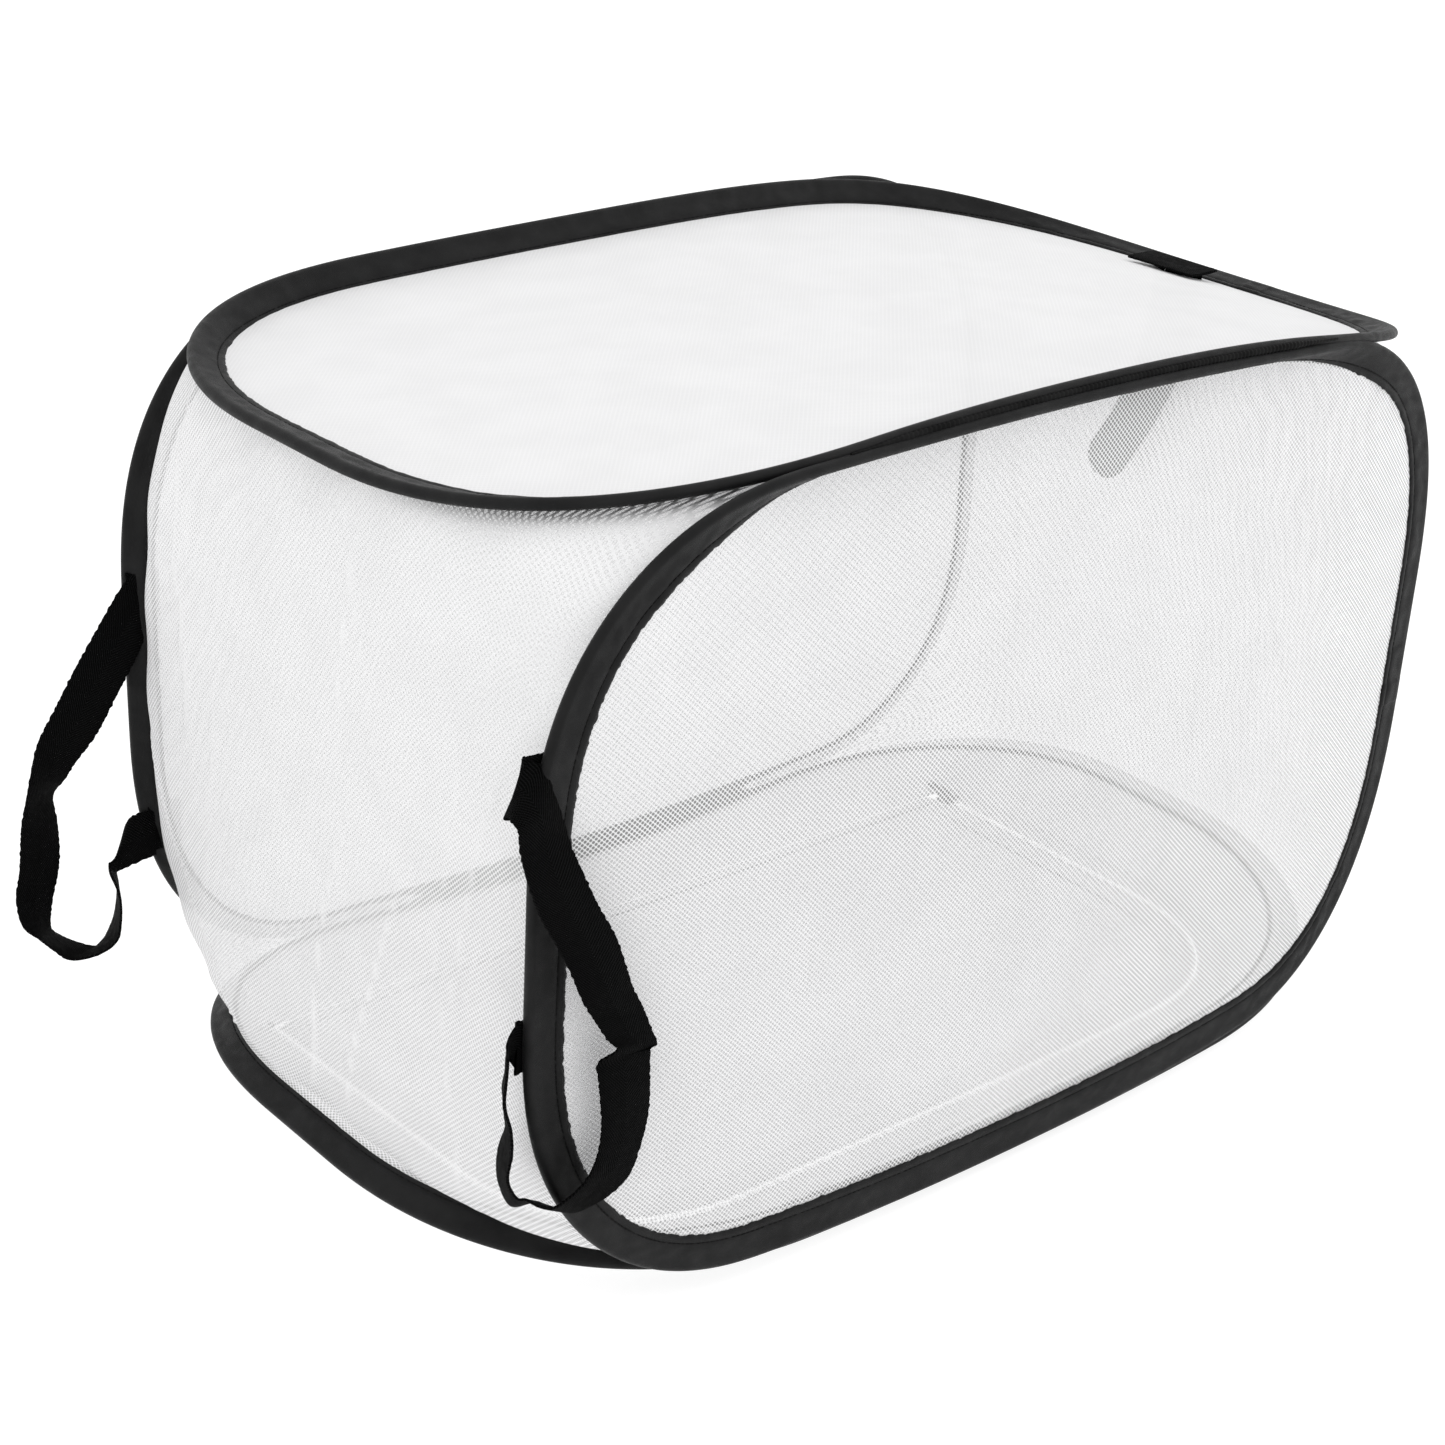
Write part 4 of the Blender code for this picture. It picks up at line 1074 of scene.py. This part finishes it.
    def teeth(self, name: str, node: str, body: str, way: int, finish: bpy.types.Material, start: float,
              end: float) -> bpy.types.Object:
        """One half of the coil: a row of nylon teeth across the zip, half a pitch from the other half's."""
        line = self.route(way * 0.00155, 2000)
        far = arc_length(line)
        shift = 0.0 if way > 0 else 0.5
        at = np.arange(start + shift * self.tooth_pitch, far[-1] - end, self.tooth_pitch)
        here = np.stack([np.interp(at, far, line[:, k]) for k in range(2)], -1)
        ahead = np.stack([np.interp(at + 0.001, far, line[:, k]) for k in range(2)], -1)
        step = unit(ahead - here)
        across = np.stack([-step[:, 1], step[:, 0], np.zeros(len(at))], -1)
        level = self.tape_low + 0.00072
        places = np.column_stack([here, np.full(len(at), level)])
        up = np.tile([0.0, 0.0, 1.0], (len(at), 1))
        made = studs(name, places, across, up, 0.0026, 0.00125, 0.0014)
        return dress(made, finish, body, "zip_coil", node)

    def door(self, finish: bpy.types.Material) -> bpy.types.Object:
        """The door's mesh: rows from the hinge line to the front, as wide as the U inside its teeth."""
        edge = self.route(-self.set_back, 3000)
        right = edge[: len(edge) // 2]
        order = np.argsort(right[:, 1])
        y = np.linspace(self.front + self.set_back, self.hinge - 0.0003, 90)
        half = np.interp(y, right[order, 1], right[order, 0]) - self.cage.x
        t = np.linspace(-1, 1, 140)
        x = self.cage.x + half[:, None] * t[None]
        fade = (1 - t[None] ** 2) * np.clip((self.hinge - y[:, None]) / 0.05, 0, 1)
        z = self.level + ripples(x, y[:, None] + 0 * x, 61, 7, 0.05, 0.3, 1.5) * 0.00035 * fade
        points = np.stack([x, y[:, None] + 0 * x, z], -1)
        quads = grid_quads(90, 140, flip=True)
        flat = points.reshape(-1, 3)[:, :2]
        made = piece_of("door_mesh_panel", points.reshape(-1, 3), quads, flat[quads.ravel()])
        dress(made, finish, "door_flap", "mesh_fabric", "door_mesh")
        return made

    def border(self, finish: bpy.types.Material) -> bpy.types.Object:
        """The border: a ring from the door's opening to the casing, at matching angles, rising to it."""
        c = np.array([self.cage.x, self.cage.y])
        inner = self.route(self.set_back, 1500)
        back = np.stack([np.linspace(inner[-1, 0], inner[0, 0], 400)[1:-1],
                         np.full(398, self.hinge + 0.0006)], -1)
        inner = np.vstack([inner, back])
        rim = self.hoop.at(np.full(self.hoop.stations, self.hoop.band - LIP), 0.0)
        turn = np.linspace(-math.pi, math.pi, 361)[:-1]

        angle, reach, order = by_angle(rim, c)
        far = np.interp(turn, angle, reach, period=TAU)
        high = np.interp(turn, angle, rim[order, 2], period=TAU) - self.level
        angle, reach, _ = by_angle(inner, c)
        near = np.interp(turn, angle, reach, period=TAU)
        share = np.linspace(0, 1, 15)
        reach = near[:, None] * (1 - share) + far[:, None] * share
        x, y = c[0] + reach * np.cos(turn)[:, None], c[1] + reach * np.sin(turn)[:, None]
        lift = high[:, None] * (share ** 2.5)[None]
        points = np.stack([x, y, self.level + lift], -1)
        quads = grid_quads(360, 15, True, False, flip=False)
        flat = points.reshape(-1, 3)[:, :2]
        made = piece_of("floor_border_panel", points.reshape(-1, 3), quads, flat[quads.ravel()])
        dress(made, finish, "base", "mesh_fabric", "floor_border_mesh")
        return made

    def hem(self, finish: bpy.types.Material) -> None:
        """The door's turned hem along its hinge line, a narrow tape."""
        low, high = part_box("door_mesh")
        x = np.linspace(low.x + 0.004, high.x - 0.004, 120)
        section = np.array([(-0.0085, 0.0), (-0.0082, 0.0004), (-0.0045, 0.0005), (-0.0010, 0.0004),
                            (-0.0007, 0.0), (-0.0010, -0.0002), (-0.0045, -0.0003), (-0.0082, -0.0002)])
        points = np.stack([x[:, None] + 0 * section[None, :, 0],
                           self.hinge + section[None, :, 0] + 0 * x[:, None],
                           self.level + 0.0004 + section[None, :, 1] + 0 * x[:, None]], -1)
        made = piece_of("door_hinge_hem", points.reshape(-1, 3), grid_quads(120, 8, False, True),
                        grid_uvs(x, np.linspace(0, 0.016, 9)),
                        caps=[np.arange(8)[::-1], np.arange(8) + 119 * 8])
        dress(made, finish, "door_flap", "zip_tape")


# Webbing

@dataclass
class Strap:
    """Flat webbing along a route: a rounded section laid across it in the ways given."""
    name: str
    width: float = 0.025
    thickness: float = 0.0015
    waver: float = 0.0005
    seed: int = 11

    def build(self, points: Array, ways: Array, count: int = 320) -> bpy.types.Object:
        """Carries the section along a smooth route; its edges waver a little, as woven selvedges do.

        Args:
            points: The route's points.
            ways: The way across the webbing at each of them, from one edge to the other.
            count: How many sections to set.

        Returns:
            The strap.
        """
        line, way = smooth_line(points, 16), smooth_line(ways, 16)
        both = even_steps(np.hstack([line, way * 1e-6]), count)
        line, across = both[:, :3], unit(both[:, 3:])
        along = unit(np.gradient(line, axis=0))
        face = unit(np.cross(across, along))
        far = arc_length(line)
        half_w = self.width / 2 + ripples(far, far * 0, self.seed, 4, 0.0028, 0.006) * self.waver * 0.5
        cup = ripples(far, far * 0, self.seed + 1, 4, 0.03, 0.12) * 0.0006
        t = np.array([-1, -0.96, -0.5, 0, 0.5, 0.96, 1, 0.96, 0.5, 0, -0.5, -0.96])
        lift = np.array([0, 0.8, 1, 1, 1, 0.8, 0, -0.8, -1, -1, -1, -0.8])
        rings = (line[:, None] + (half_w[:, None] * t)[..., None] * across[:, None]
                 + ((lift * self.thickness / 2)[None] + cup[:, None] * (1 - t ** 2)[None])[..., None]
                 * face[:, None])
        side = np.append(np.concatenate([t[:7], 2 - t[7:]]), 3.0) * self.width / 2
        caps = [np.arange(12), np.arange(12)[::-1] + (count - 1) * 12]
        return piece_of(self.name, rings.reshape(-1, 3), grid_quads(count, 12, False, True, flip=True),
                        grid_uvs(far, side, flip=True), caps)


@dataclass
class Handle:
    """A loop of webbing whose two ends are sewn to the inner face of a hoop's left end.

    The route's rows hold millimetres from the joint's axis, and the way across the webbing there.
    """
    side: str
    hoop: Hoop
    inward: float
    route: list[tuple]
    top_move: tuple = (0.0, 0.0)
    bottom_move: tuple = (0.0, 0.0)
    hem: float = 0.00125
    tab_level: float = 58.0

    def __post_init__(self) -> None:
        """Reads the axis from the sewn tabs' boxes, and how far the dipped casing lies inside the CAD's."""
        low_t, high_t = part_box(f"{self.side}_handle_top_tab")
        low_b, high_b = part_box(f"{self.side}_handle_bottom_tab")
        level = (low_t.z + high_b.z + high_t.z + low_b.z) / 4
        self.axis = np.array([low_t.x - self.hem, (low_t.y + high_t.y) / 2, level])
        self.tabs = {"top": (low_t, high_t, self.top_move), "bottom": (low_b, high_b, self.bottom_move)}
        casing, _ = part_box(f"{self.side}_casing")
        along = np.array([self.hoop.middle[0] - self.hoop.half_length - casing.x, 0, 0])
        self.falls = {}
        for end, (low, high, _) in self.tabs.items():
            middle = np.array((low + high) / 2) + along
            self.falls[end] = self.hoop.moved(middle) * [0, 1, 0] + along

    def build(self, finish: bpy.types.Material, thread: bpy.types.Material,
              root: float | None = None) -> None:
        """Builds the strap, its two sewn tabs and their box stitching.

        Args:
            finish: The webbing's material.
            thread: The stitches' material.
            root: Where given, the strap's place is baked into its mesh and it rides on no body.
        """
        table = np.array(self.route)
        strap = Strap(f"{self.side}_carry_strap", seed=21)
        share = np.clip((table[:, 2:3] + self.tab_level) / (2 * self.tab_level), 0, 1)
        fall = share * self.falls["top"] + (1 - share) * self.falls["bottom"]
        made = strap.build(self.axis + table[:, :3] / 1000 + fall, table[:, 3:])
        dress(made, finish, None if root else f"{self.side}_handle", "webbing", f"{self.side}_handle_strap")
        if root:
            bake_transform(made)
        for end, (low, high, move) in self.tabs.items():
            middle = np.array((low + high) / 2) + self.falls[end] + [move[0], 0, move[1]]
            run = (high.x - low.x) / 2
            line = middle + np.linspace(-run, run, 5)[:, None] * np.array([1.0, 0, 0])
            tab = Strap(f"{self.side}_strap_{end}_end", thickness=high.y - low.y, seed=31)
            sewn = tab.build(line, np.tile([0.0, 0.0, 1.0], (5, 1)), 24)
            dress(sewn, finish, self.hoop.body, "webbing", f"{self.side}_handle_{end}_tab")
            self.hoop.flatten(sewn)
            self.box_stitch(end, middle, run, (high.y - low.y) / 2, thread)

    def box_stitch(self, end: str, middle: Array, run: float, half: float,
                   thread: bpy.types.Material) -> None:
        """A rectangle of stitches with a cross in it, on the tab's inner face."""
        w, h = run - 0.002, 0.0095
        ways = [((-w, -h), (w, -h)), ((w, -h), (w, h)), ((w, h), (-w, h)), ((-w, h), (-w, -h)),
                ((-w, -h), (w, h)), ((-w, h), (w, -h))]
        places, along = [], []
        for start, stop in ways:
            start, stop = np.array(start), np.array(stop)
            count = int(np.linalg.norm(stop - start) / 0.0026)
            t = (np.arange(count) + 0.5)[:, None] / count
            spot = start + (stop - start) * t
            places.append(np.column_stack([spot[:, 0], np.zeros(count), spot[:, 1]]))
            along.append(np.tile([*(stop - start)[:1], 0.0, *(stop - start)[1:]], (count, 1)))
        spots = np.vstack(places) + middle + [0, self.inward * (half + 0.0001), 0]
        up = np.tile([0.0, self.inward, 0.0], (len(spots), 1))
        made = studs(f"{self.side}_strap_{end}_stitches", spots, np.vstack(along), up, 0.0021, 0.0006, 0.0005)
        dress(made, thread, self.hoop.body, "webbing")
        self.hoop.flatten(made)


@dataclass
class HangingLoop:
    """The narrow strap that hangs inside from the top hoop's right end, and the patch that it is sewn to."""
    hoop: Hoop
    shares: list[tuple]
    width: float = 0.020
    drop: float = 0.120
    lean: float = 0.030
    spacing: float = 0.017
    move: float = -0.012
    clear: float = 0.00105

    def build(self, finish: bpy.types.Material) -> None:
        """Builds the patch and the folded strap, both let down with the dipped mesh."""
        low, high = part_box("hanging_loop_patch")
        middle = np.array((low + high) / 2)
        fall = self.hoop.moved(middle) + [0, self.move, 0]
        run = (high.y - low.y) / 2
        line = middle + fall + np.linspace(-run, run, 5)[:, None] * np.array([0, 1.0, 0])
        patch = Strap("loop_patch", width=high.x - low.x, thickness=high.z - low.z, seed=41)
        made = patch.build(line, np.tile([1.0, 0.0, 0.0], (5, 1)), 30)
        dress(made, finish, "top_panel", "webbing", "hanging_loop_patch")
        self.flatten(made)
        table = np.array(self.shares)
        points = np.stack([np.full(len(table), middle[0]),
                           middle[1] + table[:, 2] * self.spacing + table[:, 1] * self.lean,
                           low.z - self.clear - table[:, 0] * self.drop], -1) + fall
        looks = np.column_stack([table[:, 3:], np.zeros(len(table))])
        ways = unit(np.cross(np.gradient(points, axis=0), looks))
        strap = Strap("hanging_strap", width=self.width, seed=43).build(points, ways, 200)
        dress(strap, finish, "top_panel", "webbing", "hanging_loop")
        self.flatten(strap)

    def flatten(self, made: bpy.types.Object) -> None:
        """Gives the strap a mesh of its own."""
        low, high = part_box("hanging_loop_patch")
        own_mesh(made)


@dataclass
class Seam:
    """An overcast seam that joins two hoops along their straight edges: a cord with slanting turns."""
    node: str
    hoop: Hoop
    meeting: Meeting
    turn: float = 0.0026
    radius: float = 0.0017
    swell: float = 0.00022
    reach: float = 0.055
    steps: int = 900
    sides: int = 10

    def build(self, finish: bpy.types.Material) -> bpy.types.Object:
        """A tube whose radius swells along a helix, so that it reads as thread wound round an edge."""
        low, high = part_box(self.node)
        mid = (low + high) / 2
        x = np.linspace(low.x - self.reach, high.x + self.reach, self.steps)
        line = np.column_stack([x, np.full(self.steps, mid.y), np.full(self.steps, mid.z)])
        line = line + self.meeting.shift((x - self.hoop.middle[0]) / self.hoop.half_length)
        spin = np.linspace(0, TAU, self.sides + 1)[:-1][None]
        taper = np.clip((high.x + self.reach - np.abs(x - mid.x) - mid.x) / 0.03, 0.35, 1)[:, None]
        radius = (self.radius + self.swell * np.sin(TAU * x[:, None] / self.turn + spin)) * taper
        made = tube(self.node + "_thread", line, radius, self.sides, False)
        return dress(made, finish, self.hoop.body, "casing_fabric", self.node)


# Studio

@dataclass
class Studio:
    """A pale floor, soft light and the photograph's camera, whose numbers come from a fit to the hoops."""
    cage: Cage
    azimuth: float = 42.09
    elevation: float = 24.36
    roll: float = 3.31
    distance: float = 1.2663
    target: tuple = (-0.10171, -0.05763, 0.20271)
    focal_pixels: float = 2724.57
    frame_pixels: float = 1445.0
    sensor: float = 36.0
    floor_size: float = 12.0
    floor_glow: float = 0.82

    def camera(self) -> None:
        """Sets the camera: it looks at the target from the azimuth and elevation, turned by the roll."""
        az, el, roll = (math.radians(v) for v in (self.azimuth, self.elevation, self.roll))
        back = Vector((-math.sin(az) * math.cos(el), -math.cos(az) * math.cos(el), math.sin(el)))
        level = (-back).cross(Vector((0, 0, 1))).normalized()
        up = level.cross(-back)
        right = level * math.cos(roll) + up * math.sin(roll)
        over = -level * math.sin(roll) + up * math.cos(roll)
        origin = Vector((self.cage.x, self.cage.y, self.cage.bottom))
        data = bpy.data.cameras.new("photo_camera")
        data.sensor_width = self.sensor
        data.lens = self.focal_pixels / self.frame_pixels * self.sensor
        data.clip_start, data.clip_end = 0.01, 50
        made = bpy.data.objects.new("photo_camera", data)
        spot = origin + Vector(self.target) + back * self.distance
        made.matrix_world = Matrix(((right.x, over.x, back.x, spot.x), (right.y, over.y, back.y, spot.y),
                                    (right.z, over.z, back.z, spot.z), (0, 0, 0, 1)))
        bpy.context.scene.collection.objects.link(made)
        bpy.context.scene.camera = made

    def floor(self) -> None:
        """A wide white floor that runs up to the horizon."""
        n = 25
        x = np.linspace(-self.floor_size, self.floor_size, n)
        points = np.stack([*np.meshgrid(x, x, indexing="ij"), np.zeros((n, n)) - 0.0002], -1).reshape(-1, 3)
        made = piece_of("studio_floor", points, grid_quads(n, n))
        g = Graph("studio_white")
        g.set(Base_Color=(0.35, 0.35, 0.35, 1), Roughness=0.9, Specular_IOR_Level=0.1,
              Emission_Color=(1, 1, 1, 1), Emission_Strength=self.floor_glow)
        made.data.materials.append(g.material)

    def light(self, name: str, spot: tuple, size: float, watts: float) -> None:
        """A square soft light at a spot, which looks at the cage."""
        data = bpy.data.lights.new(name, "AREA")
        data.size, data.energy = size, watts
        made = bpy.data.objects.new(name, data)
        aim = Vector(spot) - Vector((self.cage.x, self.cage.y, self.cage.z))
        made.matrix_world = (Matrix.Translation(Vector(spot))
                             @ aim.to_track_quat("Z", "Y").to_matrix().to_4x4())
        bpy.context.scene.collection.objects.link(made)

    def glow(self) -> None:
        """A soft light inside the cage: real mesh scatters light inwards, and the thin sheets here don't."""
        data = bpy.data.lights.new("inner_glow", "POINT")
        data.energy, data.shadow_soft_size = 0.35, 0.10
        made = bpy.data.objects.new("inner_glow", data)
        made.location = (self.cage.x + 0.03, self.cage.y, self.cage.z)
        made.visible_camera = False
        made.visible_glossy = False
        bpy.context.scene.collection.objects.link(made)

    def build(self) -> None:
        """Builds the camera, floor, lights and the bright surround."""
        self.camera()
        self.floor()
        self.light("key_light", (-1.4, -1.0, 2.4), 1.6, 10)
        self.light("fill_light", (1.6, -1.6, 1.5), 1.8, 3)
        self.glow()
        world = bpy.data.worlds.new("white_surround")
        world.use_nodes = True
        sky = world.node_tree.nodes["Background"]
        sky.inputs[0].default_value = (1, 1, 1, 1)
        sky.inputs[1].default_value = 1.0
        bpy.context.scene.world = world
        bpy.context.scene.view_settings.view_transform = "Standard"


# Strap routes

# (x, y, z) in millimetres from the handle's axis, then the way across the webbing
FRONT_STRAP = [
    (6.0, 0.0, 58.0, 0.00, 0.00, -1.00), (1.2, 0.2, 58.3, -0.10, -0.05, -0.99),
    (-2.6, -1.5, 58.8, -0.50, -0.10, -0.85), (-1.0, -5.6, 59.1, -0.81, -0.16, -0.56),
    (-1.2, -10.6, 54.9, -0.95, -0.23, -0.21), (-0.5, -14.1, 49.7, -0.98, -0.21, 0.01),
    (0.7, -17.1, 38.4, -0.99, 0.02, 0.15), (3.9, -19.6, 26.5, -0.98, 0.16, 0.09),
    (9.5, -21.1, 11.7, -0.98, 0.22, -0.01), (18.4, -21.6, -4.5, -0.97, 0.24, -0.02),
    (24.4, -22.1, -18.4, -0.98, 0.18, 0.08), (29.7, -22.6, -32.0, -1.00, 0.01, 0.02),
    (35.3, -23.1, -42.4, -1.00, -0.02, 0.06), (41.0, -23.6, -53.8, -0.99, -0.07, 0.16),
    (44.8, -23.9, -60.5, -0.96, -0.12, 0.25), (40.0, -21.9, -64.2, -0.99, 0.17, -0.03),
    (40.6, -21.6, -72.5, -0.99, 0.13, 0.08), (42.1, -21.1, -85.1, -0.98, 0.09, 0.16),
    (42.8, -20.6, -96.4, -0.98, 0.02, 0.21), (41.5, -20.1, -107.8, -0.95, -0.05, 0.32),
    (38.0, -19.6, -118.9, -0.84, -0.07, 0.54), (31.9, -18.6, -126.1, -0.76, -0.20, 0.62),
    (24.2, -17.1, -130.5, -0.78, -0.27, 0.57), (16.7, -14.6, -133.2, -0.72, -0.37, 0.58),
    (9.1, -12.1, -129.8, -0.64, -0.53, 0.56), (4.0, -8.6, -126.8, -0.59, -0.56, 0.59),
    (-1.5, -5.6, -126.8, -0.38, -0.66, 0.65), (-5.1, -3.6, -118.5, -0.38, -0.77, 0.51),
    (-5.6, -2.6, -111.2, -0.40, -0.83, 0.39), (-3.8, -2.1, -102.6, -0.38, -0.84, 0.39),
    (-2.1, -1.6, -94.0, -0.47, -0.76, 0.44), (-3.0, -1.1, -87.2, -0.51, -0.75, 0.42),
    (-4.5, -1.1, -80.6, -0.55, -0.73, 0.40), (-4.6, -1.1, -74.1, -0.52, -0.75, 0.42),
    (-3.5, -1.1, -66.8, -0.54, -0.73, 0.42), (-3.0, -0.9, -60.1, -0.54, -0.73, 0.42),
    (-2.2, -0.5, -58.5, -0.45, -0.50, 0.72), (1.4, -0.1, -58.0, -0.20, -0.20, 0.95),
    (6.0, 0.0, -58.0, 0.00, 0.00, 1.00)]
BACK_STRAP = [
    (13.0, -1.6, 74.0, 0.10, 0.00, -1.00), (8.0, -1.6, 68.5, 0.45, -0.12, -0.88),
    (-2.5, -1.0, 51.5, 0.68, -0.20, -0.70), (-14.0, -0.4, 34.5, 0.77, -0.22, -0.60),
    (-25.8, -0.3, 16.7, 0.76, -0.21, -0.62), (-37.2, -0.7, 3.1, 0.77, 0.03, -0.64),
    (-42.6, -1.1, -7.2, 0.83, 0.29, -0.47), (-47.7, -1.7, -16.6, 0.80, 0.51, -0.32),
    (-49.1, -2.3, -29.2, 0.90, 0.33, -0.29), (-50.0, -2.8, -43.2, 0.90, 0.18, -0.39),
    (-51.7, -3.3, -54.6, 0.90, 0.21, -0.37), (-54.8, -3.8, -66.1, 0.89, 0.25, -0.38),
    (-55.3, -4.3, -76.4, 0.85, 0.40, -0.34), (-54.2, -4.8, -82.9, 0.77, 0.53, -0.37),
    (-50.8, -5.3, -87.4, 0.68, 0.63, -0.38), (-41.9, -5.3, -96.1, 0.73, 0.61, -0.31),
    (-31.6, -5.3, -103.5, 0.83, 0.51, -0.20), (-21.7, -4.8, -103.5, 0.56, 0.81, -0.20),
    (-14.7, -4.3, -99.4, 0.33, 0.91, -0.24), (-11.5, -3.8, -91.2, 0.34, 0.88, -0.33),
    (-10.1, -3.3, -80.9, 0.39, 0.85, -0.36), (-10.6, -2.8, -73.6, 0.45, 0.82, -0.36),
    (-12.2, -2.3, -66.1, 0.52, 0.74, -0.42), (-11.0, -1.8, -61.0, 0.57, 0.71, -0.41),
    (-6.6, -1.6, -55.0, 0.45, 0.45, 0.60), (-2.4, -1.6, -53.0, 0.30, 0.30, 0.80),
    (5.0, -1.7, -52.0, 0.10, 0.10, 0.98), (12.0, -1.7, -52.0, 0.00, 0.00, 1.00)]
# shares of the hanging loop's drop, lean and spacing, then the (x, y) way that its face looks
LOOP = [
    (0.00, 0.00, -0.50, 0.8, 0.6), (0.22, 0.02, -0.50, 0.8, 0.6), (0.45, 0.10, -0.34, 0.8, 0.6),
    (0.66, 0.34, -0.18, 0.8, 0.5), (0.86, 0.72, -0.14, 0.9, 0.3), (0.97, 0.96, -0.12, 0.9, 0.2),
    (1.00, 1.04, 0.00, 1.0, 0.0), (0.96, 1.04, 0.14, 1.0, 0.0), (0.84, 0.80, 0.18, 0.9, -0.3),
    (0.64, 0.42, 0.22, 0.9, -0.4), (0.44, 0.16, 0.36, 0.8, -0.5), (0.22, 0.00, 0.50, 0.8, -0.6),
    (0.00, 0.00, 0.50, 0.8, -0.6)]


def main() -> None:
    """Builds the cage's looks in order."""
    logging.basicConfig(level=logging.INFO, format="%(name)s %(message)s")
    cage = Cage.read()
    Studio(cage).build()
    look = Finishes()
    front_top, back_top = Meeting(-0.0067, 0.0003, -0.0167), Meeting(0.0073, -0.0094, -0.0025, 0.008)
    front_bottom, back_bottom = Meeting(-0.0065, 0.0, 0.0169), Meeting(-0.0014, 0.0025, 0.0215)
    flat = {"run": 0.1622, "rise": 0.1516, "power": 2.24}
    tall = {"run": 0.1294, "rise": 0.1544, "power": 2.40}
    hoops = {
        "top": Hoop("top", Side.TOP, "top_panel", cage, 0.3027, 0.0131, 0.0268, low=front_top, high=back_top,
                    low_angle=0.44, high_angle=0.85, left_angle=0.15, right_angle=0.2, fade=(0.7, 1.15),
                    shift=0.0021, seed=1, **flat),
        "bottom": Hoop("bottom", Side.BOTTOM, "base", cage, 0.3019, 0.0062, 0.0130, low=front_bottom,
                       high=back_bottom, low_angle=0.60, high_angle=0.73, left_angle=0.85, right_angle=0.3,
                       shift=-0.0004, seed=2, **flat),
        "front": Hoop("front", Side.FRONT, "front_panel", cage, 0.2900, 0.0129, 0.0194, low=front_bottom,
                      high=front_top, low_angle=0.07, high_angle=1.05, fade=(0.45, 0.85), shift=-0.0114,
                      seed=3, **tall),
        "back": Hoop("back", Side.BACK, "back_panel", cage, 0.2958, 0.0240, 0.0091, low=back_bottom,
                     high=back_top, low_angle=0.58, high_angle=0.17, left_angle=0.9, right_angle=0.5,
                     shift=0.0041, seed=4, **tall)}
    walls = {"top": look.top_mesh, "front": look.front_mesh, "back": look.back_mesh}
    for name, hoop in hoops.items():
        hoop.casing(look.casing)
        hoop.stitches(look.thread)
        hoop.spring(look.steel)
        if name in walls:
            hoop.wall(walls[name], name + "_mesh")
    EndWall("left_end_panel", "left_end_mesh", -1, hoops, cage, seed=5).build(look.end_mesh)
    EndWall("right_end_panel", "right_end_mesh", 1, hoops, cage, seed=8, creases=7).build(look.end_mesh)
    floor = Floor(hoops["bottom"], cage)
    floor.border(look.floor_mesh_painted_shade)
    floor.zip_halves(look.tape, look.coil)
    floor.door(look.floor_mesh_painted_shade)
    floor.hem(look.tape)
    Handle("front", hoops["front"], 1.0, FRONT_STRAP).build(look.webbing, look.thread)
    back_handle = Handle("back", hoops["back"], -1.0, BACK_STRAP, (0.002, 0.014), (0.008, 0.008))
    back_handle.build(look.webbing, look.thread, root=0.018)
    HangingLoop(hoops["top"], LOOP).build(look.webbing)
    for node, meeting in (("front_top_seam", front_top), ("back_top_seam", back_top),
                          ("front_bottom_seam", front_bottom), ("back_bottom_seam", back_bottom)):
        Seam(node, hoops[node.split("_")[1]], meeting).build(look.thread)
    for node in ("zip_slider", "zip_pull", "left_zip_stop", "right_zip_stop"):
        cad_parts[node].data.materials.clear()
        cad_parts[node].data.materials.append(look.black_metal)
        log.info("%s: the CAD's own shape, with a painted finish", node)


if __name__ == "__main__":
    main()
